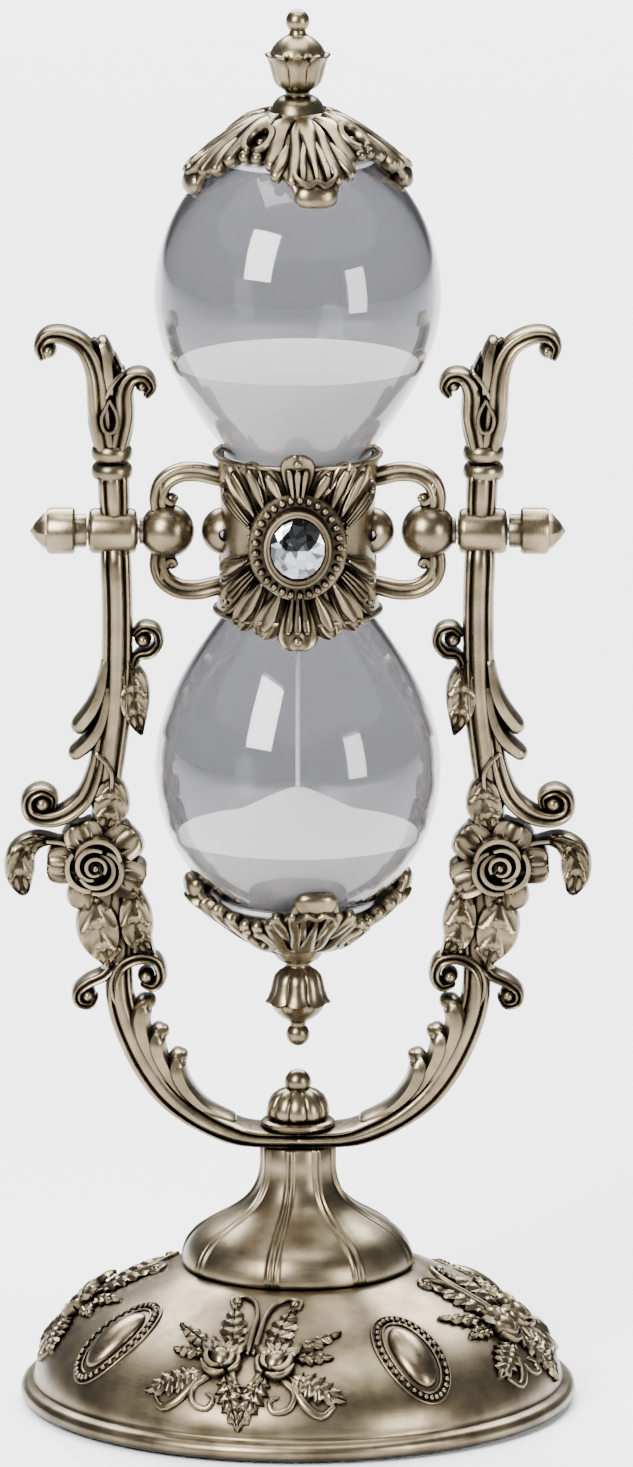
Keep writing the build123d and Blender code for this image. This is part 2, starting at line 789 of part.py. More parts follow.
def make_turning_pieces():
    """Everything that turns over with the vial, drawn with the axis at Z = 0."""
    brackets = left_and_right(make_bracket())
    pins = left_and_right(make_pin())
    knobs = left_and_right(make_knob())
    screws = make_clamp_screws()
    half = make_band_half(brackets)
    back_half = mirror(half, about=Plane.XZ)
    for screw in screws:
        back_half -= screw
    caps = both_ends(make_cap())
    pads = both_ends(make_cap_pad())
    finials = both_ends(make_finial())
    liners = both_ends(make_liner())
    bezel = make_bezel()
    gem = make_gem()
    return {
        "glass_vial": make_vial(),
        "fill_plug": make_fill_plug(),
        "sand_upper": make_upper_sand(),
        "sand_lower": make_lower_sand(),
        "sand_stream": make_sand_stream(),
        "top_cap": caps[0],
        "bottom_cap": caps[1],
        "top_cap_pad": pads[0],
        "bottom_cap_pad": pads[1],
        "top_finial": finials[0],
        "bottom_finial": finials[1],
        "band_liner_upper": liners[0],
        "band_liner_lower": liners[1],
        "waist_band_front": half,
        "waist_band_back": back_half,
        "clamp_screws": Compound(children=screws),
        "bezel_front": bezel,
        "bezel_back": mirror(bezel, about=Plane.XZ),
        "gem_front": gem,
        "gem_back": mirror(gem, about=Plane.XZ),
        "bracket_left": brackets[0],
        "bracket_right": brackets[1],
        "pivot_pin_left": pins[0],
        "pivot_pin_right": pins[1],
        "knob_left": knobs[0],
        "knob_right": knobs[1],
    }


pieces = make_stand()
for name, piece in make_turning_pieces().items():
    pieces[name] = pivot * piece
for name, piece in pieces.items():
    export_step(piece, f"parts/{name}.step")
print(f"turning axis at {pivot_height:.1f}, arms {arm_reach:.2f} out")
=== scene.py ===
import json
import math

import bpy
from mathutils import Matrix, Vector


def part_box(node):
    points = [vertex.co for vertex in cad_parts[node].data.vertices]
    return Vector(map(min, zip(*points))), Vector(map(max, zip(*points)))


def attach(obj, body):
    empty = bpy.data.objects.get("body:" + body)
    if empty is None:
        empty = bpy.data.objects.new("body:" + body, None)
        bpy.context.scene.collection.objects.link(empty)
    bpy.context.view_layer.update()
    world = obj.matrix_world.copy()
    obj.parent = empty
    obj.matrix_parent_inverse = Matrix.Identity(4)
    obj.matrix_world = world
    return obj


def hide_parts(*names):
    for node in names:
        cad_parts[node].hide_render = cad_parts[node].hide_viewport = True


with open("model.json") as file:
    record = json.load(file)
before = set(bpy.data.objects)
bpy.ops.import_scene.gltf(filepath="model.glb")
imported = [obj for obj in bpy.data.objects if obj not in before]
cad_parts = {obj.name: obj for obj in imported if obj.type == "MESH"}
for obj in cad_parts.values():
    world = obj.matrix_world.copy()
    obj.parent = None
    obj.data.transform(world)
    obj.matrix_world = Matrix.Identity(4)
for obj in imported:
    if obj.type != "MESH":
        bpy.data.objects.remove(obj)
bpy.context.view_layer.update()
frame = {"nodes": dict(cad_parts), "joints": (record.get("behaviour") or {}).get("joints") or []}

# Pieces are drawn in millimetres, and finishPiece brings them to metres.
mm = 0.001
pivotHeight = frame["joints"][0]["pos_m"][2] / mm
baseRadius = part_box("base_dome")[1].x / mm
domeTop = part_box("base_dome")[1].z / mm
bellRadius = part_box("bell_column")[1].x / mm
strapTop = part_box("strap_washer")[0].z / mm
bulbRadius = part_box("glass_vial")[1].x / mm
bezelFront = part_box("bezel_front")[0].y / -mm


# Small helpers

def deselectAll():
    bpy.ops.object.select_all(action="DESELECT")


def activate(piece):
    deselectAll()
    piece.select_set(True)
    bpy.context.view_layer.objects.active = piece


def joinAll(name, parts):
    deselectAll()
    for part in parts:
        part.select_set(True)
    bpy.context.view_layer.objects.active = parts[0]
    if len(parts) > 1:
        bpy.ops.object.join()
    joined = bpy.context.view_layer.objects.active
    joined.name = name
    joined.data.name = name
    return joined


def copyOf(piece):
    twin = piece.copy()
    twin.data = piece.data.copy()
    bpy.context.scene.collection.objects.link(twin)
    return twin


def reshaped(piece, rule):
    for vertex in piece.data.vertices:
        vertex.co = rule(*vertex.co)
    return piece


def mirrored(piece, axis):
    twin = copyOf(piece)
    flip = [1, 1, 1]
    flip["xyz".index(axis)] = -1
    twin.data.transform(Matrix.Diagonal((*flip, 1)))
    twin.data.flip_normals()
    return twin


def edited(piece, *steps):
    activate(piece)
    bpy.ops.object.mode_set(mode="EDIT")
    bpy.ops.mesh.select_all(action="SELECT")
    for step in steps:
        step()
    bpy.ops.object.mode_set(mode="OBJECT")
    return piece


def turnOutwards(piece):
    return edited(piece, lambda: bpy.ops.mesh.remove_doubles(threshold=0.0005),
                  lambda: bpy.ops.mesh.normals_make_consistent(inside=False))


def thicken(piece, thickness):
    wall = piece.modifiers.new("wall", "SOLIDIFY")
    wall.thickness = thickness
    wall.offset = -1.0
    activate(piece)
    bpy.ops.object.modifier_apply(modifier=wall.name)
    return piece


def smoothLine(points, steps=5):
    ends = [points[0], *points, points[-1]]
    line = []
    for i in range(1, len(ends) - 2):
        around = list(zip(*ends[i - 1:i + 3]))
        for step in range(steps):
            t = step / steps
            line.append(tuple(
                0.5 * (2 * b + (c - a) * t + (2 * a - 5 * b + 4 * c - d) * t * t
                       + (3 * b - a - 3 * c + d) * t ** 3)
                for a, b, c, d in around
            ))
    line.append(tuple(points[-1]))
    return line


def bezier(points, t):
    weights = ((1 - t) ** 3, 3 * t * (1 - t) ** 2, 3 * t * t * (1 - t), t ** 3)
    return tuple(sum(w * point[k] for w, point in zip(weights, points)) for k in (0, 1))


def arc(middle, across, up, start, end, steps, out=0.0):
    # a round stretch of an outline, as radius and height
    turns = [start + (end - start) * k / steps for k in range(steps + 1)]
    return [(max(out + across * math.cos(turn), 0.0), middle + up * math.sin(turn)) for turn in turns]


def ellipse(halfX, halfY, count):
    turns = [2 * math.pi * k / count for k in range(count + 1)]
    return [(halfX * math.cos(turn), halfY * math.sin(turn)) for turn in turns]


def finishPiece(piece, body, material, nodes=(), angle=None):
    piece.data.transform(Matrix.Scale(mm, 4))
    piece.data.materials.clear()
    piece.data.materials.append(material)
    activate(piece)
    if angle is None:
        bpy.ops.object.shade_smooth()
    else:
        bpy.ops.object.shade_smooth_by_angle(angle=math.radians(angle))
    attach(piece, body)
    if nodes:
        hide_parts(*nodes)
    return piece


def finishPair(piece, name, node, ends, turn, material, angle):
    # the piece and its twin on the other side of the vial, each in its own node's place
    twin = copyOf(piece)
    twin.data.transform(turn)
    if turn.determinant() < 0:
        twin.data.flip_normals()
    for half, end in ((piece, ends[0]), (twin, ends[1])):
        half.name = name + end
        finishPiece(half, "vial", material, [node + "_" + end.lower()], angle)


toBack = Matrix.Rotation(math.pi, 4, "Z")
toLeft = Matrix.Diagonal((-1, 1, 1, 1))


# Ways of making a shape

def newPiece(name, places, edges=(), faces=()):
    mesh = bpy.data.meshes.new(name)
    mesh.from_pydata(places, edges, faces)
    piece = bpy.data.objects.new(name, mesh)
    bpy.context.scene.collection.objects.link(piece)
    return piece


def skinned(name, rings):
    # a closed skin over rings of places, one after another
    size = len(rings[0])
    places = [place for ring in rings for place in ring]
    last = len(places) - size
    faces = [tuple(range(size)), tuple(range(last, last + size))]
    for start in range(0, last, size):
        for k in range(size):
            n = (k + 1) % size
            faces.append((start + k, start + n, start + size + n, start + size + k))
    return turnOutwards(newPiece(name, places, faces=faces))


def turnedPiece(name, outline, segments=96):
    places = [(radius, 0, height) for radius, height in outline]
    piece = newPiece(name, places, [(i, i + 1) for i in range(len(places) - 1)])
    whole = {"steps": segments, "angle": 2 * math.pi, "center": (0, 0, 0), "axis": (0, 0, 1)}
    return turnOutwards(edited(piece, lambda: bpy.ops.mesh.spin(**whole)))


def ball(radius, x, y, z, segments=20):
    bpy.ops.mesh.primitive_uv_sphere_add(
        segments=segments, ring_count=segments // 2, radius=radius, location=(x, y, z)
    )
    piece = bpy.context.object
    bpy.ops.object.transform_apply(location=True, rotation=False, scale=False)
    return piece


def blob(centre, half, segments):
    # a ball drawn out to its own half size on each axis
    (x0, y0, z0), (a, b, c) = centre, half
    return reshaped(ball(1.0, 0, 0, 0, segments), lambda x, y,
                    z: Vector((x0 + a * x, y0 + b * y, z0 + c * z)))


def raised(piece):
    return reshaped(piece, lambda x, y, z: Vector((x, y, z + pivotHeight)))


def ribSection(ribs, groove, perRib=6):
    # one face of a bar's section, from edge to edge, as (across, out) shares
    count = ribs * perRib
    section = []
    for i in range(count + 1):
        u = -math.cos(math.pi * i / count)
        crest = abs(math.sin(ribs * math.pi * i / count)) ** 0.5
        rise = math.sqrt(max(0.0, 1 - u ** 6)) * (1 - groove + groove * crest)
        section.append((u, rise))
    return section


def roundedEnds(line):
    # the last sections shrink along a quarter circle, so that a bar ends in a rounded tip
    for end in (0, -1):
        x, z, wide, deep = line[end]
        nextX, nextZ = line[1 if end == 0 else -2][:2]
        away = Vector((x - nextX, z - nextZ)).normalized()
        tip = []
        for turn in (0.5, 0.95, 1.3, 1.52):
            reach = min(wide, deep) * math.sin(turn)
            tip.append((x + away.x * reach, z + away.y * reach, wide * math.cos(turn),
                        deep * math.cos(turn)))
        line = tip[::-1] + line if end == 0 else line + tip
    return line


def direction(line, i):
    before, after = line[max(i - 1, 0)], line[min(i + 1, len(line) - 1)]
    return Vector((after[0] - before[0], after[1] - before[1])).normalized()


def ribBar(route, ribs, groove, steps=4):
    # a cast bar with rounded ribs; the route holds x, z, half width and half depth
    line = roundedEnds(smoothLine(route, steps))
    face = ribSection(ribs, groove)
    section = [(u, -v) for u, v in face] + [(u, v) for u, v in reversed(face[1:-1])]
    rings = []
    for i, (x, z, wide, deep) in enumerate(line):
        along = direction(line, i)
        rings.append([(x + along.y * u * wide, v * deep, z - along.x * u * wide) for u, v in section])
    return skinned("bar", rings)


def plainBar(route, steps=3):
    return ribBar(route, ribs=1, groove=0.0, steps=steps)


def flatBar(route):
    return layDown(plainBar(route))


def leafAlong(route, lift, dip, steps, veins=0, back=None, columns=16):
    # a leaf with a raised rim, a midrib and slanting veins; the route holds x, z and half width
    line = smoothLine(route, steps)
    shares = [-math.cos(math.pi * k / columns) for k in range(columns + 1)]
    rings = []
    for i, (x, z, wide) in enumerate(line):
        s = i / (len(line) - 1)
        along = direction(line, i)
        half = max(wide, 0.15)
        ends = math.sin(math.pi * (0.06 + 0.88 * s)) ** 0.22
        crest, under = [], []
        for u in shares:
            side = abs(u)
            inside = min(1.0, max(0.0, 1 - side / 0.84) * 4)
            rise = lift * max(0.0, 1 - side ** 6) ** 0.5 * ends
            rise -= dip * inside * ends
            rise += 0.8 * dip * math.exp(-(u / 0.12) ** 2) * ends
            if veins:
                phase = (veins * s - 0.9 * side) % 1.0
                rise += math.exp(-(min(phase, 1 - phase) / 0.13) ** 2) * inside
            across, up = x + along.y * u * half, z - along.x * u * half
            crest.append((across, -rise, up))
            under.append((across, rise if back is None else back, up))
        rings.append(crest + under[::-1][1:-1])
    return skinned("leaf", rings)


def layDown(piece):
    # from standing in the cradle's plane to lying flat: x across, y along, z up
    return reshaped(piece, lambda x, y, z: Vector((x, z, -y)))


def turnedOnX(name, outline, segments=48):
    # the outline holds x and radius
    piece = turnedPiece(name, [(radius, x) for x, radius in outline], segments)
    return turnOutwards(reshaped(piece, lambda x, y, z: Vector((z, x, y))))


def blade(length, width, lift, veins, veinDepth, thickness, rows, columns, teeth=0):
    # a leaf or petal lying flat: +Y towards its tip, +Z up from the ground it lies on
    bpy.ops.mesh.primitive_grid_add(x_subdivisions=columns, y_subdivisions=rows, size=2)
    piece = bpy.context.object

    def leafPlace(x, y, z):
        s = (y + 1) / 2
        half = width / 2 * math.sin(math.pi * min(max(s, 0.02), 0.985) ** 0.75) ** 0.8
        if teeth:
            half *= 1 - 0.55 * (1 - (s * teeth) % 1.0)
        rise = lift * (1 - x * x) * math.sin(math.pi * (0.08 + 0.84 * s)) ** 0.5
        rise -= veinDepth * math.exp(-(x / 0.13) ** 2)
        wave = math.cos(2 * math.pi * (veins * s - 1.1 * abs(x)))
        rise += 0.6 * veinDepth * wave * min(1.0, 3 * abs(x)) * math.sin(math.pi * s)
        return Vector((x * half, s * length, rise))

    reshaped(piece, leafPlace)
    return turnOutwards(thicken(piece, thickness))


def laid(piece, x, y, angle, height):
    # turned about its own foot, in degrees, and moved to a place on the flat
    turn = Matrix.Rotation(math.radians(angle), 4, "Z")
    piece.data.transform(Matrix.Translation((x, y, height)) @ turn)
    return piece


def onTurned(line, centreAngle, facing):
    # a rule that lays a flat drawing on a turned shape: x around, y along its outline, z outwards;
    # facing is 1 where the outline climbs and -1 where it goes down
    reach = [0.0]
    for (r0, z0), (r1, z1) in zip(line, line[1:]):
        reach.append(reach[-1] + math.hypot(r1 - r0, z1 - z0))

    def rule(x, y, z):
        y = min(max(y, 0.0), reach[-1] - 0.01)
        k = next(i for i in range(len(line) - 1) if reach[i + 1] >= y)
        t = (y - reach[k]) / (reach[k + 1] - reach[k])
        (r0, z0), (r1, z1) = line[k], line[k + 1]
        radius, height = r0 + (r1 - r0) * t, z0 + (z1 - z0) * t
        slope = facing * Vector((z1 - z0, r0 - r1)).normalized()
        turn = centreAngle + x / radius
        far = radius + slope.x * z
        return Vector((far * math.sin(turn), -far * math.cos(turn), height + slope.y * z))
    return rule


# Materials

def newMaterial(name):
    material = bpy.data.materials.new(name)
    material.use_nodes = True
    tree = material.node_tree
    return material, tree, tree.nodes["Principled BSDF"]


def addNode(tree, kind, **values):
    node = tree.nodes.new(kind)
    for key, value in values.items():
        if key in node.inputs.keys():
            node.inputs[key].default_value = value
        else:
            setattr(node, key, value)
    return node


def setInputs(node, values):
    for key, value in values.items():
        node.inputs[key].default_value = value


def onPiece(tree, kind, **values):
    # a node that takes the place on the piece itself
    place = addNode(tree, "ShaderNodeTexCoord")
    node = addNode(tree, kind, **values)
    tree.links.new(place.outputs["Object"], node.inputs["Vector"])
    return node


def addBump(tree, shader, texture, strength, distance):
    bump = addNode(tree, "ShaderNodeBump", Strength=strength, Distance=distance)
    tree.links.new(texture.outputs["Fac"], bump.inputs["Height"])
    tree.links.new(bump.outputs["Normal"], shader.inputs["Normal"])


bronzeLook = {
    "bright": (0.27, 0.22, 0.14, 1),
    "middle": (0.082, 0.064, 0.038, 1),
    "patina": (0.010, 0.007, 0.005, 1),
    "cavity": 0.0032,  # how far a hollow's patina reaches, in metres
}


def makeBronze(name, brushAlong, roughness):
    material, tree, shader = newMaterial(name)
    link = tree.links.new
    stretch = onPiece(tree, "ShaderNodeMapping", Scale=brushAlong)
    brush = addNode(tree, "ShaderNodeTexNoise", Scale=1.0, Detail=4.0, Roughness=0.6)
    link(stretch.outputs["Vector"], brush.inputs["Vector"])
    cloud = onPiece(tree, "ShaderNodeTexNoise", Scale=90.0, Detail=3.0, Roughness=0.55)
    hollow = addNode(tree, "ShaderNodeAmbientOcclusion", samples=6, Distance=bronzeLook["cavity"])
    dirt = addNode(tree, "ShaderNodeMapRange", **{"From Min": 0.42, "From Max": 0.9})
    link(hollow.outputs["AO"], dirt.inputs["Value"])
    tone = addNode(tree, "ShaderNodeMix", data_type="RGBA")
    setInputs(tone, {6: bronzeLook["middle"], 7: bronzeLook["bright"]})
    shade = addNode(tree, "ShaderNodeMapRange", **{"From Min": 0.3, "From Max": 0.72})
    link(cloud.outputs["Fac"], shade.inputs["Value"])
    link(shade.outputs["Result"], tone.inputs[0])
    aged = addNode(tree, "ShaderNodeMix", data_type="RGBA")
    aged.inputs[6].default_value = bronzeLook["patina"]
    link(dirt.outputs["Result"], aged.inputs[0])
    link(tone.outputs[2], aged.inputs[7])
    link(aged.outputs[2], shader.inputs["Base Color"])
    shader.inputs["Metallic"].default_value = 1.0
    rough = addNode(tree, "ShaderNodeMapRange", **{"To Min": roughness - 0.08, "To Max": roughness + 0.14})
    link(brush.outputs["Fac"], rough.inputs["Value"])
    link(rough.outputs["Result"], shader.inputs["Roughness"])
    addBump(tree, shader, brush, 0.18, 0.00008)
    return material


def makePlain(name, colour, metallic, roughness, grain=0.0, grainScale=2000.0):
    material, tree, shader = newMaterial(name)
    noise = onPiece(tree, "ShaderNodeTexNoise", Scale=grainScale, Detail=3.0)
    tone = addNode(tree, "ShaderNodeMix", data_type="RGBA")
    setInputs(tone, {6: tuple(c * (1 - grain) for c in colour[:3]) + (1,), 7: colour})
    tree.links.new(noise.outputs["Fac"], tone.inputs[0])
    tree.links.new(tone.outputs[2], shader.inputs["Base Color"])
    addBump(tree, shader, noise, 0.3, 0.0001)
    setInputs(shader, {"Metallic": metallic, "Roughness": roughness})
    return material


def makeGlass():
    material, tree, shader = newMaterial("blownGlass")
    # the grey base colour is painted shade: it darkens the glass and all that is seen through it
    setInputs(shader, {"Base Color": (0.3, 0.3, 0.315, 1), "Roughness": 0.0, "IOR": 1.5,
                       "Transmission Weight": 1.0})
    return material


def makeCrystal():
    material, tree, shader = newMaterial("crystal")
    setInputs(shader, {"Metallic": 1.0, "Roughness": 0.05, "Coat Weight": 1.0})
    # painted glints: the base colour is random cells of near black and pale grey, standing in for the
    # facets' reflections
    paintedGlints = onPiece(tree, "ShaderNodeTexVoronoi", Scale=620.0)
    shade = addNode(tree, "ShaderNodeValToRGB")
    dark, light = shade.color_ramp.elements
    dark.position = 0.25
    dark.color = (0.02, 0.021, 0.025, 1)
    light.position = 0.85
    light.color = (0.4, 0.41, 0.43, 1)
    tree.links.new(paintedGlints.outputs["Color"], shade.inputs["Fac"])
    tree.links.new(shade.outputs["Color"], shader.inputs["Base Color"])
    return material


castBronze = makeBronze("castBronze", (700, 700, 700), 0.27)
brushedBronze = makeBronze("brushedBronze", (260, 260, 5200), 0.3)
turnedBronze = makeBronze("turnedBronze", (5200, 260, 260), 0.26)
steel = makePlain("plainSteel", (0.55, 0.55, 0.56, 1), 1.0, 0.35, 0.2)
felt = makePlain("blackFelt", (0.03, 0.03, 0.03, 1), 0.0, 0.95, 0.5, 6000)
rubber = makePlain("clearRubber", (0.42, 0.42, 0.43, 1), 0.0, 0.5, 0.2)
cork = makePlain("cork", (0.5, 0.36, 0.22, 1), 0.0, 0.85, 0.5, 3000)
sandWhite = makePlain("whiteSand", (0.9, 0.885, 0.86, 1), 0.0, 0.9, 0.12, 9000)
glass = makeGlass()
crystal = makeCrystal()
print("materials made")


# Base: a brushed dome with a rim

dome = {
    "rim": [(0, 0.4), (baseRadius - 1.6, 0.4), (baseRadius - 0.3, 1.0), (baseRadius, 2.2),
            (baseRadius - 0.3, 3.3), (baseRadius - 1.4, 4.1), (baseRadius - 2.6, 4.3),
            (baseRadius - 3.0, 4.8)],
    "curve": [(57.0, 5.5), (55.6, 14.8), (42.0, 22.6), (26.0, domeTop)],
    "segments": 192, "turn": 13,  # how far the ornament is turned from the front, in degrees
}


def onDome(centreAngle):
    return onTurned([bezier(dome["curve"], i / 60) for i in range(61)], centreAngle, 1)


def makeDome():
    outline = dome["rim"] + [bezier(dome["curve"], i / 28) for i in range(29)] + [(0, domeTop)]
    shell = turnedPiece("baseDome", outline, dome["segments"])
    return finishPiece(shell, "stand", brushedBronze, ["base_dome"])


rosebud = {
    "petals": [  # start, sweep, reach, half width, height
        (-120, -135, 2.9, 0.9, 2.0), (-95, 140, 2.8, 0.9, 2.2), (-110, 95, 4.0, 0.85, 1.6),
        (-125, -70, 4.2, 0.75, 1.4)],
    "leafTurns": (-62, -34, -8, 18, 46),
}


def makeRosebud():
    # a round bud held by curved petals, with a tuft of small leaves behind it
    parts = [blob((-0.3, 0, 0.6), (2.5, 3.0, 2.0), 18)]
    for start, sweep, reach, wide, high in rosebud["petals"]:
        petal = []
        for k in range(7):
            turn = math.radians(start + sweep * k / 6)
            swell = math.sin(math.pi * (0.12 + 0.76 * k / 6))
            petal.append((reach * math.cos(turn), reach * math.sin(turn), wide * swell, high))
        parts.append(flatBar(petal))
    for turn in rosebud["leafTurns"]:
        leaf = blade(5.0, 2.7, lift=1.3, veins=2, veinDepth=0.3, thickness=0.8, rows=9, columns=6)
        parts.append(laid(leaf, 0.02 * turn, 0.6, -turn, 1.3))
    return joinAll("bud", parts)


floral = {
    "stem": [(0.7, 20, 0.75, 0.9), (0.8, 26, 0.7, 0.9), (0.9, 31, 0.6, 0.9), (2.2, 35.6, 0.6, 0.9),
             (5.0, 37.6, 0.6, 0.9), (7.6, 36.4, 0.55, 0.8), (7.2, 34.4, 0.5, 0.7), (5.8, 34.9, 0.4, 0.5)],
    "leaves": [  # foot x and y, length, width, turn, teeth
        (4.4, 21.5, 13.0, 7.4, -9, 5), (8.5, 20.0, 11.5, 5.4, -58, 5), (9.5, 13.5, 14.5, 8.2, -116, 6),
        (4.4, 13.5, 13.5, 7.4, -200, 6), (10.0, 18.5, 8.0, 4.6, -88, 4), (2.2, 13.0, 8.0, 4.6, -172, 4)],
    "curls": [
        [(8.5, 12.5, 0.8, 0.9), (11.2, 9.6, 0.8, 0.9), (10.6, 6.0, 0.75, 0.9), (7.4, 5.2, 0.7, 0.8),
         (6.2, 7.4, 0.6, 0.7), (7.8, 8.6, 0.4, 0.5)],
        [(10.5, 12.0, 0.8, 0.9), (13.6, 7.0, 1.0, 1.1), (17.6, 4.2, 0.9, 1.0), (20.0, 6.4, 0.6, 0.7)],
        [(2.0, 21.5, 0.8, 1.0), (3.5, 16.5, 1.0, 1.2), (2.2, 12.0, 0.8, 1.0), (0.4, 9.5, 0.4, 0.6)],
    ],
    "bud": (6.2, 17.2, -4),
}


def makeFloral():
    parts = [flatBar(floral["stem"])]
    for curl in floral["curls"]:
        parts.append(flatBar(curl))
    for x, y, length, width, turn, teeth in floral["leaves"]:
        leaf = blade(length, width, lift=1.1, veins=teeth, veinDepth=0.5, thickness=1.0,
                     rows=6 * teeth, columns=10, teeth=teeth)
        parts.append(laid(leaf, x, y, turn, 0.45))
    x, y, turn = floral["bud"]
    parts.append(laid(makeRosebud(), x, y, turn, 0.6))
    parts.append(ball(1.1, 6.3, 35.7, 0.4, 12))
    half = joinAll("floral", parts)
    return joinAll("floral", [half, mirrored(half, "x")])


cartouche = {
    "half": (4.3, 8.6, 2.2), "ring": (6.6, 11.2), "pearls": 34, "pearl": 0.62,
    "rims": (-1.25, 1.15), "heightOnDome": 17.5,
}


def makeCartouche():
    parts = [blob((0, 0, 0), cartouche["half"], 32)]
    ringX, ringY = cartouche["ring"]
    for x, y in ellipse(ringX, ringY, cartouche["pearls"])[:-1]:
        parts.append(ball(cartouche["pearl"], x, y, 0.45, 8))
    for grow in cartouche["rims"]:
        parts.append(flatBar([(x, y, 0.28, 0.42) for x, y in ellipse(ringX + grow, ringY + grow, 48)]))
    return joinAll("cartouche", parts)


def makeBaseRelief():
    flower = makeFloral()
    shield = makeCartouche()
    parts = []
    for quarter in range(4):
        turn = math.radians(90 * quarter - dome["turn"])
        parts.append(reshaped(copyOf(flower), onDome(turn)))
        place = onDome(turn + math.radians(45))
        parts.append(reshaped(copyOf(shield), lambda x, y, z: place(x, y + cartouche["heightOnDome"], z)))
    bpy.data.objects.remove(flower)
    bpy.data.objects.remove(shield)
    relief = joinAll("baseRelief", parts)
    return finishPiece(relief, "stand", castBronze, angle=50)


# Bell: the column that carries the cradle

bell = {
    "neck": 7.6, "foot": 1.3, "under": 3.8, "ribs": 8, "ribHeight": 0.75, "ribWidth": 0.4, "ribGap": 1.7,
    "segments": 384,
}


def makeBell():
    top, low, neck = strapTop - bell["under"], domeTop + bell["foot"], bell["neck"]
    outline = [(0, domeTop), (bellRadius - 0.4, domeTop), (bellRadius, domeTop + 0.5), (bellRadius, low)]
    curve = [(bellRadius, low), (bellRadius - 1.5, domeTop + 12.0), (8.2, domeTop + 9.1),
             (neck, domeTop + 22.4)]
    outline += [bezier(curve, i / 32) for i in range(1, 33)]
    outline += [(neck, top - 0.4), (neck - 0.3, top), (0, top)]
    shell = turnedPiece("bellColumn", outline, bell["segments"])
    step = 2 * math.pi / bell["ribs"]

    def rib(x, y, z):
        radius = math.hypot(x, y)
        if radius < 5 or z < domeTop + 1.0:
            return Vector((x, y, z))
        turn = math.atan2(x, -y) + math.radians(dome["turn"])
        off = ((turn + step / 2) % step - step / 2) * radius
        gap = bell["ribGap"] * min(1.0, radius / 16) / 2
        rise = math.exp(-((abs(off) - gap) / bell["ribWidth"]) ** 2)
        grow = 1 + bell["ribHeight"] * rise / radius
        return Vector((x * grow, y * grow, z))

    reshaped(shell, rib)
    return finishPiece(shell, "stand", brushedBronze, ["bell_column"])


# Vial: clear glass, with the sand inside it

vial = {
    "neck": 6.3, "offset": 51.5, "crown": 34.3, "wall": 1.4, "throat": 1.3, "boreEnd": 12.875,
    "segments": 128,
}
sand = {
    "gap": 0.15, "upperLevel": 37.0, "dish": 1.5, "lowerLevel": 66.0, "peak": 56.0,
    "heap": [(0, 0), (3, 1.0), (8, 3.4), (13, 5.9), (18, 8.2)],  # radius and fall from the peak
}


def bulbWidth(rise):
    swell = (1 - math.cos(math.pi * (rise / vial["offset"]) ** 0.8)) / 2
    return vial["neck"] + (bulbRadius - vial["neck"]) * swell


def bulbLine(inset, low=0.0, high=None, steps=22):
    # the vial's half outline from its neck to its pole, drawn from the axis of turning
    top = vial["offset"] if high is None else min(high, vial["offset"])
    line = [(bulbWidth(low + (top - low) * i / steps) - inset, low + (top - low) * i / steps)
            for i in range(steps + 1)]
    if high is None or high > vial["offset"]:
        line += arc(vial["offset"], bulbRadius - inset, vial["crown"] - inset, 0, math.pi / 2, steps)[1:]
    return line


def crownHeight(radius, grow=0.0):
    share = min(radius / (bulbRadius + grow), 1.0)
    return vial["offset"] + (vial["crown"] + grow) * math.sqrt(1 - share * share)


def bothWays(half):
    # the half outline and its mirror image below the axis, at the vial's height
    whole = half[::-1][:-1] + [(radius, -z) for radius, z in half]
    return [(radius, z + pivotHeight) for radius, z in whole]


def makeVial():
    outside = turnedPiece("outside", bothWays(bulbLine(0.0)), vial["segments"])
    bore = [(vial["throat"], 0)] + bulbLine(vial["wall"], vial["boreEnd"])
    inside = turnedPiece("inside", bothWays(bore), vial["segments"])
    inside.data.flip_normals()
    piece = joinAll("glassVial", [outside, inside])
    piece.visible_shadow = False  # so that the lamps reach the sand
    return finishPiece(piece, "vial", glass, ["glass_vial"])


def makeSand():
    inset = vial["wall"] + sand["gap"]
    level = sand["upperLevel"]
    wall = bulbLine(inset, vial["boreEnd"], level)
    edge = wall[-1][0]
    surface = [(edge * (1 - i / 16), level - sand["dish"] * (i / 16) ** 0.8) for i in range(1, 17)]
    outline = [(0, vial["boreEnd"])] + wall + surface[:-1] + [(0, surface[-1][1])]
    upper = turnedPiece("sandUpper", [(r, z + pivotHeight) for r, z in outline], 96)
    finishPiece(upper, "vial", sandWhite, ["sand_upper"], angle=40)
    wide, high = bulbRadius - inset, vial["crown"] - inset
    share = (sand["lowerLevel"] - vial["offset"]) / high
    slope = [(radius, sand["peak"] + fall) for radius, fall in sand["heap"]]
    slope.append((wide * math.sqrt(1 - share * share), sand["lowerLevel"]))
    floor = arc(vial["offset"], wide, high, math.asin(share), math.pi / 2, 14)[1:]
    outline = smoothLine(slope, 5) + floor[:-1] + [(0, floor[-1][1])]
    lower = turnedPiece("sandLower", [(r, pivotHeight - z) for r, z in outline], 96)
    finishPiece(lower, "vial", sandWhite, ["sand_lower"], angle=60)


# Cradle: the left arm is drawn, and the right one is its mirror image

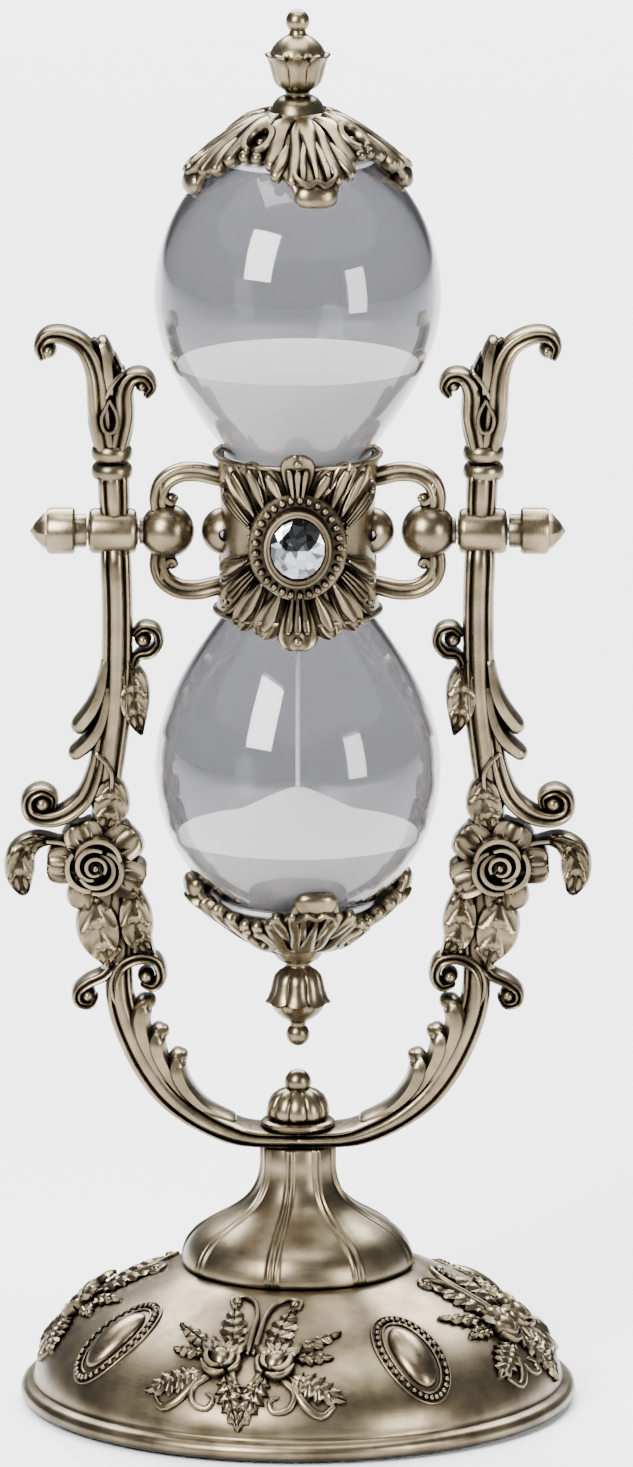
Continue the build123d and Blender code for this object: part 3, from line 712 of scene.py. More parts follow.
arm = {
    "stem": [  # x, z, half width, half depth
        (1.0, 58.1, 1.95, 7.4), (-9, 58.3, 2.0, 7.4), (-15, 59.6, 2.6, 6.6), (-21.5, 62.6, 2.9, 5.4),
        (-27.5, 67.4, 3.4, 4.6), (-32.0, 73.4, 3.6, 4.3), (-35.6, 80.5, 3.5, 4.3), (-38.0, 87.5, 3.2, 4.2),
        (-38.6, 95, 3.0, 3.5), (-38.4, 104, 3.4, 2.6), (-40.2, 114, 3.6, 2.6), (-41.0, 124, 3.3, 2.8),
        (-41.2, 134, 3.2, 3.2), (-40.4, 143, 3.6, 4.0), (-39.3, 152, 3.6, 4.2), (-38.8, 162, 3.4, 4.2),
        (-38.7, 175, 3.35, 4.2), (-39.0, 184.5, 3.35, 4.1), (-39.1, 188.5, 3.0, 2.8),
        (-39.2, 193.5, 3.0, 2.8), (-39.3, 197.5, 3.35, 4.1), (-39.5, 202.5, 3.4, 4.2)],
    "fingers": [
        [(-24, 65.5, 0.8, 3.0), (-29.5, 72, 1.4, 4.2), (-33, 79, 2.0, 4.9), (-34.0, 84, 2.4, 5.1),
         (-33.2, 87.0, 2.2, 4.8), (-31.9, 87.9, 1.5, 3.6)],
        [(-19.5, 63.4, 0.8, 3.4), (-25.5, 68.6, 1.3, 4.4), (-29.2, 74.4, 1.9, 5.0), (-30.6, 78.8, 2.3, 5.2),
         (-30.0, 80.9, 2.0, 4.5), (-28.9, 81.2, 1.3, 3.2)],
        [(-14, 61.8, 0.8, 4.0), (-20, 64.6, 1.2, 4.8), (-24.2, 68.8, 1.9, 5.3), (-26.1, 73.0, 2.3, 5.3),
         (-25.8, 75.4, 2.0, 4.5), (-24.8, 75.8, 1.2, 3.2)],
    ],
    "scrolls": [  # ribs, then the route
        (2, [(-37.2, 85.0, 1.3, 3.6), (-39.6, 91.0, 1.5, 4.1), (-38.4, 95.4, 1.5, 4.2),
             (-34.6, 97.6, 1.5, 4.2), (-30.6, 97.0, 1.45, 4.2), (-29.4, 93.6, 1.35, 4.0),
             (-31.0, 91.2, 1.1, 3.8), (-33.2, 91.8, 0.8, 3.4)]),
        (2, [(-39.2, 97.0, 1.3, 3.6), (-41.6, 94.0, 1.4, 4.0), (-45.0, 92.3, 1.35, 4.0),
             (-47.5, 90.2, 1.2, 4.0), (-47.2, 87.8, 1.1, 3.9), (-44.8, 87.2, 0.9, 3.6),
             (-43.6, 88.8, 0.7, 3.2)]),
        (2, [(-42.0, 146.0, 1.6, 3.8), (-43.4, 139.0, 2.0, 4.2), (-45.6, 133.2, 2.2, 4.3),
             (-49.5, 129.5, 2.2, 4.3), (-54.0, 128.2, 1.9, 4.3), (-57.6, 129.4, 1.6, 4.2),
             (-58.0, 132.8, 1.4, 4.1), (-55.2, 134.6, 1.2, 4.0), (-52.4, 133.2, 1.0, 3.8),
             (-52.6, 130.8, 0.8, 3.4)]),
        (1, [(-41.2, 163, 1.0, 3.8), (-42.2, 157, 1.6, 4.3), (-44.1, 152.4, 1.9, 4.5),
             (-46.9, 148.6, 1.9, 4.2)]),
        (1, [(-40.6, 157, 1.0, 3.6), (-42.0, 150, 1.6, 4.1), (-44.4, 145.6, 1.9, 4.3),
             (-47.8, 142.6, 1.6, 4.0)]),
        (2, [(-36.0, 158.6, 1.0, 3.4), (-34.4, 163.8, 1.1, 3.8), (-31.6, 164.6, 1.2, 3.9),
             (-29.8, 167.0, 1.15, 3.9), (-30.6, 169.6, 1.1, 3.9), (-33.2, 170.3, 1.0, 3.7),
             (-35.0, 168.8, 0.8, 3.4)]),
        (1, [(-43.4, 143.0, 0.8, 4.2), (-41.0, 140.8, 0.8, 4.6), (-39.9, 138.2, 0.7, 4.8),
             (-40.2, 134.0, 0.5, 4.6)]),
        (2, [(-41.0, 209.5, 2.2, 3.8), (-42.2, 217.0, 2.7, 4.3), (-43.0, 225.5, 2.5, 4.3),
             (-45.4, 231.0, 2.2, 4.2), (-49.4, 233.6, 2.0, 4.1), (-53.2, 233.8, 1.7, 4.0),
             (-55.2, 231.6, 1.3, 3.8), (-54.6, 229.2, 1.0, 3.4)]),
        (1, [(-40.0, 221.5, 1.0, 4.4), (-40.3, 225.0, 1.7, 4.8), (-40.8, 229.5, 1.7, 4.8),
             (-41.7, 232.3, 1.3, 4.2)]),
        (2, [(-38.4, 209.5, 1.9, 3.8), (-37.3, 216.0, 2.4, 4.3), (-37.2, 221.6, 2.2, 4.3),
             (-35.4, 224.8, 1.7, 4.2), (-32.6, 225.0, 1.4, 4.1), (-31.1, 222.8, 1.15, 3.9),
             (-32.2, 221.0, 0.9, 3.5)]),
        (1, [(-37.4, 226.2, 0.6, 4.4), (-39.4, 224.0, 0.8, 4.9), (-41.0, 220.6, 0.5, 4.6)]),
        (1, [(-47.6, 121.6, 0.7, 3.6), (-50.6, 123.2, 0.8, 3.8), (-54.0, 123.6, 0.7, 3.8)]),
        (1, [(-38.6, 100.0, 1.0, 3.6), (-40.6, 97.6, 1.1, 4.1), (-41.6, 95.6, 0.8, 3.8)]),
    ],
    "eyeDepth": 4.4,
    "eyes": [  # x, z, radius
        (-32.7, 93.6, 1.9), (-45.2, 89.4, 1.8), (-54.9, 131.6, 2.2), (-33.2, 167.6, 1.9),
        (-53.3, 230.6, 1.9), (-33.3, 223.0, 1.5), (-35.0, 99.5, 1.1)],
    "leaves": [  # lift, veins, then the route
        (5.2, 4, [(-43.4, 111.5, 1.6), (-43.2, 107.0, 4.6), (-42.3, 101.8, 4.7), (-41.0, 97.6, 2.0),
                  (-40.4, 95.6, 0.3)]),
        (4.7, 4, [(-35.4, 113.0, 1.6), (-35.2, 108.0, 3.7), (-34.4, 103.0, 3.6), (-32.4, 99.8, 1.6),
                  (-30.8, 98.4, 0.3)]),
        (4.3, 4, [(-51.4, 123.6, 0.6), (-56.2, 123.3, 2.0), (-59.4, 120.4, 3.2), (-59.8, 116.0, 3.2),
                  (-59.0, 112.6, 1.7), (-58.7, 111.5, 0.3)]),
        (5.0, 4, [(-39.7, 138.6, 0.4), (-40.0, 135.0, 3.3), (-40.3, 130.6, 4.2), (-41.2, 127.0, 2.2),
                  (-41.6, 125.4, 0.4)]),
        (4.9, 4, [(-36.4, 163.4, 0.4), (-35.4, 158.6, 3.2), (-35.1, 153.5, 3.4), (-34.2, 149.2, 1.8),
                  (-33.4, 146.8, 0.3)]),
        (3.4, 0, [(-39.8, 208.5, 3.6), (-39.9, 214.0, 4.9), (-40.0, 220.0, 4.9), (-40.6, 225.0, 3.6),
                  (-42.6, 230.5, 1.9), (-44.0, 232.8, 0.6)]),
        (4.0, 3, [(-39.3, 215.0, 1.0), (-38.6, 220.0, 1.9), (-38.6, 225.0, 1.7), (-39.3, 228.8, 0.9),
                  (-39.6, 229.9, 0.3)]),
    ],
    "rings": [(202.3, 206.0), (206.3, 210.0)],
    "ringCentre": -39.75, "ringRadius": 4.45,
    "tear": [(-40.2, 220.2, 0.5, 4.9), (-41.9, 216.6, 0.6, 5.1), (-41.2, 213.6, 0.6, 5.1),
             (-39.2, 213.6, 0.6, 5.1), (-38.5, 216.6, 0.6, 5.1), (-40.2, 220.4, 0.5, 4.9)],
    "boss": [(-34.5, 0), (-34.5, 4.1), (-35.0, 4.7), (-36.0, 4.9), (-43.4, 4.9), (-44.2, 4.7),
             (-44.7, 4.1), (-44.7, 0)],
}
rose = {
    "centre": (-43.4, 118.2),
    "petals": [  # turn, reach, half width
        (42, 11.4, 5.0), (-22, 11.2, 4.9), (-100, 10.4, 5.2), (178, 10.8, 4.7), (112, 10.2, 5.0)],
    "ribTurns": (-0.26, 0.0, 0.26),
    "rib": [(0.48, 0.45, 4.0), (0.6, 0.4, 3.9), (0.72, 0.22, 3.4)],  # share of reach, half width, depth
    "folds": [  # radius, half width, depth, start, sweep
        (5.5, 1.0, 5.7, 15, 165), (5.8, 1.0, 5.5, 150, 150), (5.6, 1.0, 5.9, 262, 150),
        (3.9, 0.9, 6.5, 70, 190), (4.0, 0.9, 6.3, 215, 215), (2.1, 0.75, 7.0, -30, 330)],
    "heart": (4.9, 5.3, 4.9), "bead": (0.8, 6.3),
}


def makeRose():
    parts = []
    x0, z0 = rose["centre"]
    for turn, reach, wide in rose["petals"]:
        turn = math.radians(turn)
        route = [(x0 + math.cos(turn) * r, z0 + math.sin(turn) * r, w) for r, w in
                 ((1.5, wide * 0.5), (reach * 0.42, wide * 0.9), (reach * 0.7, wide),
                  (reach * 0.9, wide * 0.86), (reach * 0.98, wide * 0.45))]
        parts.append(leafAlong(route, lift=5.0, dip=1.7, steps=5))
        for side in rose["ribTurns"]:
            away = (math.cos(turn + side) * reach, math.sin(turn + side) * reach)
            parts.append(plainBar([(x0 + away[0] * s, z0 + away[1] * s, w, d) for s, w, d in rose["rib"]]))
    for radius, wide, deep, start, sweep in rose["folds"]:
        route = []
        for k in range(10):
            share = k / 9
            turn = math.radians(start + sweep * share)
            reach = radius * (1 + 0.12 * math.sin(math.pi * share)) * (1 - 0.3 * share ** 2)
            slim = wide * (0.55 + 0.45 * math.sin(math.pi * (0.1 + 0.85 * share)))
            x, z = x0 + reach * math.cos(turn), z0 + reach * math.sin(turn)
            route.append((x, z, slim, deep - 0.8 * share ** 2))
        parts.append(plainBar(route))
    parts.append(blob((x0, 0, z0), rose["heart"], 20))
    radius, out = rose["bead"]
    parts.append(ball(radius, x0, -out, z0, 10))
    parts.append(ball(radius, x0, out, z0, 10))
    return parts


def ringPiece(low, high, centre, radius):
    middle, half, bulge = (low + high) / 2, (high - low) / 2, 1.2
    side = arc(middle, bulge, half, -math.pi / 2, math.pi / 2, 8, out=radius - bulge)
    ring = turnedPiece("ring", [(0, low)] + side + [(0, high)], 40)
    return reshaped(ring, lambda x, y, z: Vector((x + centre, y, z)))


def makeCradle():
    parts = [ribBar(arm["stem"], ribs=3, groove=0.24, steps=4)]
    for finger in arm["fingers"]:
        parts.append(plainBar(finger, 4))
    for ribs, route in arm["scrolls"]:
        parts.append(ribBar(route, ribs=ribs, groove=0.22, steps=4))
    for x, z, radius in arm["eyes"]:
        parts.append(blob((x, 0, z), (radius, arm["eyeDepth"], radius), 18))
    for lift, veins, route in arm["leaves"]:
        parts.append(leafAlong(route, lift=lift, dip=1.3, steps=9, veins=veins))
    parts += makeRose()
    for low, high in arm["rings"]:
        parts.append(ringPiece(low, high, arm["ringCentre"], arm["ringRadius"]))
    parts.append(plainBar(arm["tear"], 4))
    parts.append(raised(turnedOnX("boss", arm["boss"])))
    left = joinAll("cradle", parts)
    cradle = joinAll("cradle", [left, mirrored(left, "x")])
    return finishPiece(cradle, "stand", castBronze, ["cradle_yoke"], angle=50)


# Acorn nut and its washer on the strap

acorn = {
    "washer": 8.0, "washerHeight": 1.75, "washerHole": 2.7, "gap": 0.05, "height": 10.8, "ribs": 10,
    "ball": 2.9,
    "body": [(0, 0), (5.6, 0), (6.7, 0.5), (7.0, 1.4), (6.7, 3.2), (5.8, 4.9), (4.3, 6.1), (3.0, 6.6),
             (2.3, 6.9)],
}


def makeAcorn():
    out, hole, high = acorn["washer"], acorn["washerHole"], acorn["washerHeight"]
    washer = [(hole, 0), (out - 0.6, 0), (out, 0.6), (out - 0.1, 1.3), (out - 0.7, high), (hole, high),
              (hole, 0)]
    ring = turnedPiece("strapWasher", [(r, z + strapTop) for r, z in washer], 64)
    finishPiece(ring, "stand", turnedBronze, ["strap_washer"], angle=40)
    foot = strapTop + high + acorn["gap"]
    outline = [(r, z + foot) for r, z in acorn["body"]]
    middle = foot + acorn["height"] - acorn["ball"]
    outline += arc(middle, acorn["ball"], acorn["ball"], -0.75, math.pi / 2, 8)
    nut = turnedPiece("acornNut", outline, 160)

    def gadroon(x, y, z):
        radius, turn = math.hypot(x, y), math.atan2(x, -y)
        if radius < 3.2 or z < foot + 0.3:
            return Vector((x, y, z))
        grow = 0.90 + 0.10 * abs(math.cos(acorn["ribs"] / 2 * turn)) ** 0.5
        return Vector((x * grow, y * grow, z))

    reshaped(nut, gadroon)
    return finishPiece(nut, "stand", castBronze, ["acorn_nut"], angle=60)


# Pivots: sleeves, knobs, and the scrolled brackets with their balls

knob = {  # x and radius
    "body": [(45.2, 0), (45.2, 3.4), (45.6, 3.6), (47.5, 3.6), (47.7, 3.6), (47.7, 4.5), (48.2, 5.0),
             (53.0, 5.0), (53.7, 4.6), (53.75, 4.2), (53.75, 0)],
    "tip": [(53.6, 0), (53.6, 4.15), (54.4, 3.9), (56.2, 1.9), (57.4, 0.0)], "tipSides": 8,
}


def makeKnobs():
    body = turnedOnX("knob", knob["body"], 64)
    tip = turnedOnX("tip", knob["tip"], knob["tipSides"])
    piece = raised(joinAll("knobRight", [body, tip]))
    finishPair(piece, "knob", "knob", ("Right", "Left"), toLeft, turnedBronze, 30)


bracket = {
    "bar": [(14.5, 11.4, 1.9, 2.0), (17.5, 12.0, 2.05, 2.1), (21.5, 12.9, 2.1, 2.1), (25.5, 12.6, 2.1, 2.1),
            (28.6, 10.6, 2.1, 2.1), (29.8, 7.6, 2.05, 2.1), (29.6, 4.5, 1.9, 2.0)],
    "curl": [(29.2, 10.2, 0.9, 1.9), (28.6, 7.4, 0.95, 1.9), (27.0, 6.2, 0.8, 1.8), (26.1, 7.2, 0.6, 1.6)],
    "bead": (27.0, 7.0, 1.4), "ball": (28.0, 5.9),  # centre and radius
    "hub": [(28.0, 0), (28.0, 2.9), (33.7, 2.9), (33.9, 2.5), (33.9, 0)],  # x and radius
}


def makeBrackets():
    route = [(x, pivotHeight + z, w, d) for x, z, w, d in bracket["bar"]]
    curl = [(x, pivotHeight + z, w, d) for x, z, w, d in bracket["curl"]]
    beadX, beadZ, beadRadius = bracket["bead"]
    upper = [ribBar(route, ribs=2, groove=0.3, steps=5), plainBar(curl, 4),
             ball(beadRadius, beadX, 0, pivotHeight + beadZ, 14)]
    top = joinAll("bracketRight", upper)
    low = mirrored(top, "z")
    low.data.transform(Matrix.Translation((0, 0, 2 * pivotHeight)))
    hub = raised(turnedOnX("hub", bracket["hub"], 32))
    ballX, ballRadius = bracket["ball"]
    piece = joinAll("bracketRight", [top, low, ball(ballRadius, ballX, 0, pivotHeight, 40), hub])
    finishPair(piece, "bracket", "bracket", ("Right", "Left"), toLeft, castBronze, 50)


# Waist band with its palmettes, pearls and crystal

band = {
    "half": 16.9, "radius": 16.4, "flare": 1.1, "wall": 1.2,
    "petals": [  # foot and tip as arc and height, half width, ball on it
        ((10.0, 3.4), (20.6, 11.8), 2.7, True), ((8.8, 5.2), (16.6, 16.6), 2.9, False),
        ((6.6, 6.8), (11.4, 17.6), 2.9, False), ((2.6, 8.6), (6.9, 16.4), 2.7, False),
        ((0, 9.0), (0, 20.0), 3.7, True), ((10.2, -3.2), (22.0, -8.6), 2.9, False),
        ((9.0, -5.4), (19.2, -15.2), 3.1, True), ((6.8, -7.2), (13.4, -18.4), 3.1, False),
        ((3.0, -9.0), (7.6, -19.8), 3.1, False), ((0, -9.4), (0, -22.4), 4.2, True)],
    "pearls": 29, "pearl": (1.1, 1.1, 0.8), "pearlRing": (9.0, 10.3), "bezel": (7.3, 8.4),
    "sideBall": (15.5, 5.2, 1.3),  # place, radius and hole
    "sweep": 88.6, "beads": [(11.4, 3.6), (11.4, 1.4), (11.4, -0.8)], "bead": 0.55,
}
gem = {
    "half": (6.2, 6.8), "stand": 1.4, "depth": 4.0,
    "rings": [  # corners, share of the half width, depth, offset
        (8, 0.4, 0.3, 0), (8, 0.72, 0.85, 0.5), (16, 0.93, 1.5, 0.5), (16, 1.0, 2.0, 0), (8, 0.5, 3.2, 0)],
}


def onBand(x, y, z):
    # lays a flat drawing on the front of the band: x around, y up, z outwards
    flare = band["flare"] * min(abs(y) / band["half"], 1.25) ** 2
    reach = band["radius"] + flare + z
    turn = x / (band["radius"] + 0.8)
    return Vector((reach * math.sin(turn), -reach * math.cos(turn), pivotHeight + y))


def makePetal(foot, tip, wide, beaded):
    # a raised rim with a rounded tongue inside it, or three tongues and a bead
    (x0, y0), (x1, y1) = foot, tip
    lift = 1.5 if foot[0] else 1.9
    route = [(x0 + (x1 - x0) * s, y0 + (y1 - y0) * s, wide * w) for s, w in
             ((0, 0.4), (0.25, 0.6), (0.5, 0.86), (0.76, 1.0), (0.92, 0.8), (1.0, 0.4))]
    parts = [layDown(leafAlong(route, lift=lift, dip=1.0, steps=5, back=0.6))]
    reach = math.hypot(x1 - x0, y1 - y0)
    across = Vector((y1 - y0, x0 - x1)) / reach
    tongues = ((-0.55, 0.22), (0.0, 0.24), (0.55, 0.22)) if beaded else ((0.0, 0.45),)
    for side, share in tongues:
        rib = []
        for s, w in ((0.1, 0.3), (0.35, 0.7), (0.6, 1.0), (0.7 if beaded else 0.82, 0.7)):
            offset = side * wide * (0.35 + 0.65 * s)
            rib.append((x0 + (x1 - x0) * s + across.x * offset, y0 + (y1 - y0) * s + across.y * offset,
                        wide * share * w, lift - 0.1))
        parts.append(flatBar(rib))
    if beaded:
        parts.append(ball(0.26 * wide, x0 + (x1 - x0) * 0.83, y0 + (y1 - y0) * 0.83, lift - 0.5, 12))
    return parts


def makeSideBall(side):
    # the half ball beside the band, with a blind hole in its outer end
    x, radius, hole = band["sideBall"]
    brink = math.asin(hole / radius) - math.pi / 2
    outline = [(0, 2.2 - radius), (hole - 0.2, 2.2 - radius), (hole - 0.2, 0.5 - radius),
               (hole + 0.15, 0.2 - radius)]
    outline += arc(0, radius, radius, brink, 0, 24)[1:] + [(0, 0.0)]
    half = turnedPiece("sideBall", outline, 40)
    return turnOutwards(reshaped(half, lambda a, b, c: Vector((side * x + a, c, pivotHeight - b))))


def makeBand():
    bpy.ops.mesh.primitive_grid_add(x_subdivisions=90, y_subdivisions=24, size=2)
    wall = bpy.context.object
    wide = math.radians(band["sweep"]) * (band["radius"] + 0.8)
    reshaped(wall, lambda x, y, z: onBand(x * wide, y * band["half"], 0.0))
    parts = [thicken(wall, band["wall"])]
    relief = []
    for foot, tip, half, beaded in band["petals"]:
        relief += makePetal(foot, tip, half, beaded)
        if foot[0]:
            relief += makePetal((-foot[0], foot[1]), (-tip[0], tip[1]), half, beaded)
    for side in (-1, 1):
        for across, height in band["beads"]:
            relief.append(ball(band["bead"], side * across, height, 0.5, 8))
    parts.append(reshaped(joinAll("relief", relief), onBand))
    for height in (-1, 1):
        edge = [(wide * (k / 24 - 1), height * band["half"], 0.55, 0.8) for k in range(49)]
        parts.append(reshaped(flatBar(edge), onBand))
    for side in (-1, 1):
        parts.append(makeSideBall(side))
    front = joinAll("waistBandFront", parts)
    finishPair(front, "waistBand", "waist_band", ("Front", "Back"), toBack, castBronze, 50)


def ellipseRing(halfX, halfZ, wide, deep, y):
    ring = plainBar([(x, z, wide, deep) for x, z in ellipse(halfX, halfZ, 40)], 2)
    return reshaped(ring, lambda a, b, c: Vector((a, b + y, c + pivotHeight)))


def makeMedallions():
    parts = []
    back = bezelFront - 3.4
    ringX, ringZ = band["pearlRing"]
    for k in range(band["pearls"]):
        turn = 2 * math.pi * k / band["pearls"]
        pearl = ball(1.0, 0, 0, 0, 10)
        spin = Matrix.Rotation(-turn, 4, "Y")
        x, z = ringX * math.cos(turn), pivotHeight + ringZ * math.sin(turn)
        place = Matrix.Translation((x, -(back + 0.9), z))
        pearl.data.transform(place @ spin @ Matrix.Diagonal((*band["pearl"], 1)))
        parts.append(pearl)
    bezelX, bezelZ = band["bezel"]
    parts.append(ellipseRing(bezelX - 0.35, bezelZ - 0.35, 0.5, 2.4, -(bezelFront - 2.2)))
    parts.append(ellipseRing(bezelX - 0.9, bezelZ - 1.1, 0.7, 1.9, -(bezelFront - 2.2)))
    parts.append(ellipseRing(ringX - 1.0, ringZ - 1.0, 2.6, 0.9, -(back - 0.1)))
    parts.append(ellipseRing(bezelX - 3.4, bezelZ - 3.8, 3.6, 0.8, -(back - 0.6)))
    front = joinAll("bezelFront", parts)
    finishPair(front, "bezel", "bezel", ("Front", "Back"), toBack, castBronze, 50)


def makeGems():
    halfX, halfZ = gem["half"]
    table = bezelFront + gem["stand"]
    places = [(0, -table, pivotHeight), (0, gem["depth"] - table, pivotHeight)]
    for count, share, depth, offset in gem["rings"]:
        for k in range(count):
            turn = 2 * math.pi * (k + offset) / count
            x, z = share * math.cos(turn) * halfX, share * math.sin(turn) * halfZ
            places.append((x, depth - table, pivotHeight + z))
    stone = turnOutwards(edited(newPiece("gemFront", places), bpy.ops.mesh.convex_hull))
    finishPair(stone, "gem", "gem", ("Front", "Back"), toBack, crystal, 2)


# Caps with their acanthus leaves, and the lotus finials

cap = {
    "line": [(5.6, 91.6), (7.5, 90.4), (9.5, 89.3), (12, 87.3), (15, 84.9), (19, 81.8), (21, 80.0),
             (22.4, 78.2), (22.9, 75.6), (22.9, 73.8)],
    "collar": [(2.6, 94.7), (3.4, 94.5), (4.4, 93.9), (5.2, 92.9), (5.6, 91.9), (6.0, 91.2)],
    "body": 17.6, "turn": 10,
    "midrib": [(0, 2.0, 1.5, 0.5), (0, 5.0, 1.9, 1.3), (0, 10, 1.6, 1.9), (0.1, 16, 0.9, 2.0),
               (0.1, 21.0, 0.4, 2.0)],
    "lobes": [
        [(1.2, 2.8, 0.5, 0.6), (2.6, 7.5, 1.1, 1.7), (3.1, 12.5, 1.3, 1.9), (4.0, 16.8, 1.4, 1.9),
         (4.9, 20.0, 1.1, 1.6)],
        [(4.4, 10.5, 0.5, 1.4), (5.6, 13.5, 1.2, 1.8), (6.9, 16.4, 1.4, 1.8), (8.4, 18.8, 1.1, 1.5)],
        [(0.9, 9, 0.4, 1.4), (1.9, 14, 0.9, 1.9), (2.4, 17.6, 0.95, 2.0), (2.6, 20.4, 0.7, 1.8)],
        [(2.6, 2.4, 0.9, 0.8), (5.2, 5.2, 1.9, 1.6), (6.6, 8.6, 2.0, 1.8), (7.6, 12.4, 1.7, 1.7),
         (9.2, 15.8, 1.2, 1.5)],
    ],
    "plate": [(0, 7, 5.5), (0, 13, 8.2), (0, 17.5, 7.6), (0, 20.5, 5.6), (0, 23.6, 4.4), (0, 25.2, 2.4)],
    "lip": (23.2, 4.7, 2.6, 2.3),  # place and half sizes
    "lipRim": [(-4.0, 15.5, 0.4, 1.5), (-4.2, 18.5, 0.5, 1.9), (-3.6, 20.4, 0.55, 2.3),
               (-1.6, 21.4, 0.6, 2.5), (0, 20.8, 0.6, 2.5), (1.6, 21.4, 0.6, 2.5),
               (3.6, 20.4, 0.55, 2.3), (4.2, 18.5, 0.5, 1.9), (4.0, 15.5, 0.4, 1.5)],
    "loop": (9.8, 2.7, 3.7), "loopStem": [(0, 1.5, 0.7, 1.0), (0, 4.5, 1.0, 1.6), (0, 6.6, 0.7, 1.4)],
    "loopBeads": [(1.4, -1.6, 14.2, 0.4), (1.4, 1.6, 14.2, 0.4), (1.2, 0, 9.8, 0.0)],
}


def onCap(centreAngle):
    return onTurned(smoothLine(cap["line"], 4), centreAngle, -1)


def makeCapLeaf():
    parts = [flatBar(cap["midrib"])]
    for lobe in cap["lobes"]:
        bar = flatBar(lobe)
        parts += [bar, mirrored(bar, "x")]
    parts.append(layDown(leafAlong(cap["plate"], lift=0.9, dip=0.3, steps=3, back=0.9)))
    place, halfX, halfY, high = cap["lip"]

    def squared(x, y, z):
        x, y = (math.copysign(abs(side) ** 0.72, side) for side in (x, y))
        return Vector((halfX * x, place + halfY * y, high * z - 0.2))

    parts += [reshaped(ball(1.0, 0, 0, 0, 24), squared), flatBar(cap["lipRim"])]
    return joinAll("capLeaf", parts)


def makeCapLoop():
    middle, halfX, halfY = cap["loop"]
    turns = [-2.7 + 5.4 * k / 12 for k in range(13)]
    loop = [(halfX * math.sin(turn), middle - halfY * math.cos(turn), 0.95, 2.2) for turn in turns]
    parts = [flatBar(loop), flatBar(cap["loopStem"])]
    parts += [ball(*bead, 14) for bead in cap["loopBeads"]]
    return joinAll("capLoop", parts)


def makeCapShape():
    collar, line = cap["collar"], smoothLine(cap["line"], 3)
    side = collar + [(r, h) for r, h in line if collar[-1][0] < r <= cap["body"]]
    edge, low = side[-1]
    under = [(edge - 0.2, low - 1.3)]
    for k in range(10):
        radius = (edge - 0.6) * (1 - k / 9)
        under.append((radius, crownHeight(radius, 1.0)))
    outline = [(0, collar[0][1])] + side + under
    parts = [turnedPiece("cap", outline, 128)]
    leaf, loop = makeCapLeaf(), makeCapLoop()
    for quarter in range(4):
        turn = math.radians(cap["turn"] + 90 * quarter)
        parts.append(reshaped(copyOf(leaf), onCap(turn)))
        parts.append(reshaped(copyOf(loop), onCap(turn + math.radians(45))))
    bpy.data.objects.remove(leaf)
    bpy.data.objects.remove(loop)
    return joinAll("topCap", parts)


finial = {
    "cup": [(0, 94.7), (2.7, 94.7), (2.6, 95.2), (2.9, 95.8), (4.1, 96.5), (5.0, 97.5), (5.5, 99.0),
            (5.9, 100.8), (6.5, 102.2), (7.1, 103.1), (6.8, 103.5), (6.1, 103.5), (5.8, 104.0),
            (5.3, 105.0), (4.5, 106.0), (3.4, 106.9), (2.4, 107.5), (1.9, 107.8), (1.8, 108.1)],
    "rim": 103.52, "ball": (2.55, 110.65), "petals": 8,
}


def makeFinialShape():
    radius, middle = finial["ball"]
    outline = finial["cup"] + arc(middle, radius, radius, -0.86, math.pi / 2, 8)
    bud = turnedPiece("topFinial", outline, 160)

    def flute(x, y, z):
        reach, turn = math.hypot(x, y), math.atan2(x, -y)
        if reach < 2.9 or z > finial["rim"]:
            return Vector((x, y, z))
        wave = abs(math.cos(finial["petals"] / 2 * turn)) ** 0.6
        share = min(1.0, (reach - 2.9) / 2.5)
        grow = 1 - 0.14 * share * (1 - wave)
        rise = 0.9 * share * (wave - 0.6) if z > 101 else 0
        return Vector((x * grow, y * grow, z + rise))

    return reshaped(bud, flute)


def makeEnds():
    for name, shape in (("Cap", makeCapShape()), ("Finial", makeFinialShape())):
        for piece, end in ((shape, "top"), (mirrored(shape, "z"), "bottom")):
            piece.name = end + name
            piece.data.transform(Matrix.Translation((0, 0, pivotHeight)))
            finishPiece(piece, "vial", castBronze, [end + "_" + name.lower()], angle=50)


makeDome()
makeBaseRelief()
makeBell()
print("base made")
makeCradle()
makeAcorn()
print("cradle made")
makeVial()
makeSand()
print("vial made")
makeKnobs()
makeBrackets()
print("pivots made")
makeBand()
makeMedallions()
makeGems()
print("waist made")
makeEnds()
print("caps and finials made")

# Inner and hidden pieces keep their CAD shape

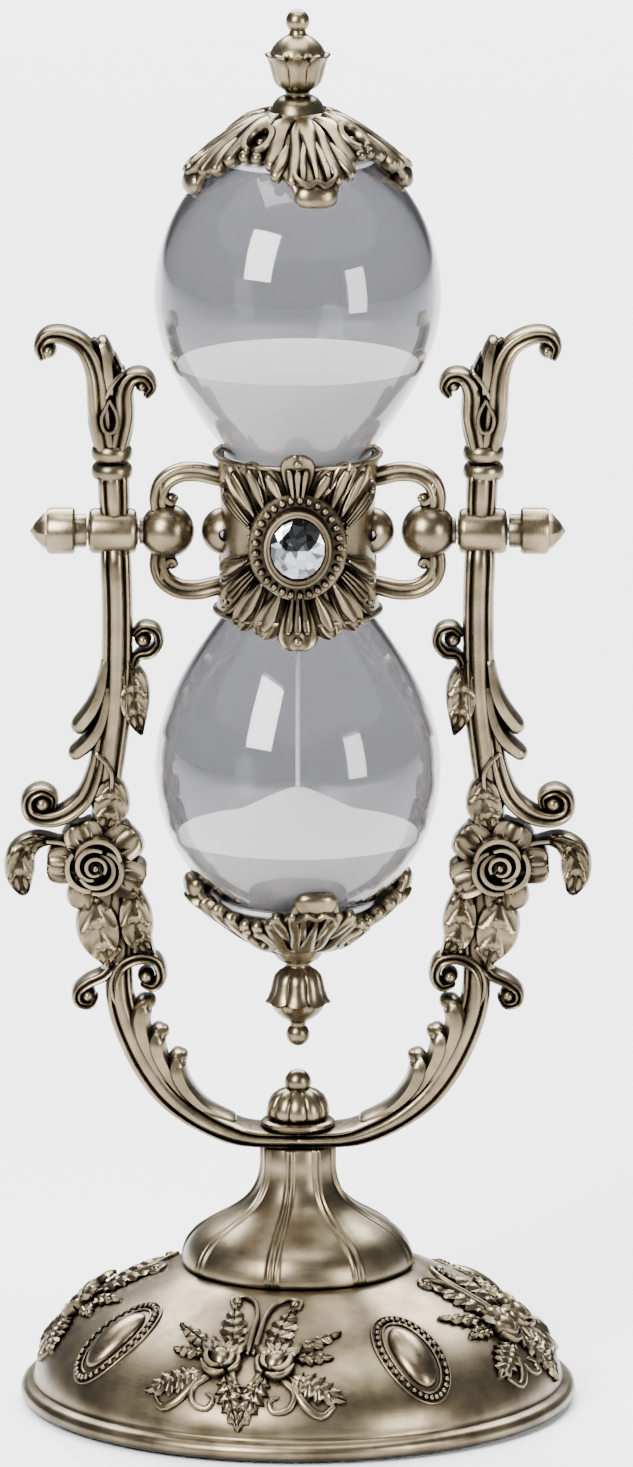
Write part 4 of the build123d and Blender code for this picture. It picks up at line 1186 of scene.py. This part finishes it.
keptNodes = {
    "felt_pad": felt, "bottom_plate": steel, "tie_rod": steel, "tie_washer": steel, "tie_nut": steel,
    "clamp_screws": steel, "pivot_pin_left": steel, "pivot_pin_right": steel, "fill_plug": cork,
    "top_cap_pad": rubber, "bottom_cap_pad": rubber, "band_liner_upper": rubber,
    "band_liner_lower": rubber, "sand_stream": sandWhite, "pivot_sleeve_left": turnedBronze,
    "pivot_sleeve_right": turnedBronze,
}
for name, material in keptNodes.items():
    frame["nodes"][name].data.materials.clear()
    frame["nodes"][name].data.materials.append(material)


# Floor, lights and camera

def makeStage():
    bpy.ops.mesh.primitive_plane_add(size=8, location=(0, 0, -0.0002))
    floor = bpy.context.object
    floor.name = "floor"
    paper = makePlain("palePaper", (0.93, 0.93, 0.93, 1), 0.0, 0.8, 0.02, 30)
    floor.data.materials.append(paper)
    world = bpy.data.worlds.new("studio")
    bpy.context.scene.world = world
    world.use_nodes = True
    setInputs(world.node_tree.nodes["Background"], {"Color": (1, 1, 1, 1), "Strength": 0.2})


def softLamp(name, place, target, size, power):
    bpy.ops.object.light_add(type="AREA", location=place)
    lamp = bpy.context.object
    lamp.name = name
    lamp.data.shape = "RECTANGLE"
    lamp.data.size, lamp.data.size_y = size
    lamp.data.energy = power
    lamp.rotation_euler = (Vector(target) - Vector(place)).to_track_quat("-Z", "Y").to_euler()
    return lamp


view = {"distance": 3.5, "tilt": 12.2, "target": (0.004, 0, 0.1466), "lens": 400.07}


def makeCamera():
    tilt = math.radians(view["tilt"])
    x, y, z = view["target"]
    place = (x, y - view["distance"] * math.cos(tilt), z + view["distance"] * math.sin(tilt))
    bpy.ops.object.camera_add(location=place, rotation=(math.pi / 2 - tilt, 0, 0))
    camera = bpy.context.object
    camera.data.lens = view["lens"]
    camera.data.sensor_width = 36
    camera.data.clip_end = 20
    bpy.context.scene.camera = camera


makeStage()
softLamp("keyLamp", (-0.5, -0.75, 0.75), (0, 0, 0.16), (0.42, 0.6), 34)
softLamp("fillLamp", (0.8, -0.7, 0.35), (0, 0, 0.16), (0.3, 0.5), 11)
softLamp("topLamp", (0.0, 0.1, 1.1), (0, 0, 0.1), (0.8, 0.8), 17)
softLamp("backLamp", (0, 2.2, 2.2), (0, 1.5, 0), (3.0, 1.6), 320)
makeCamera()
print("stage made")
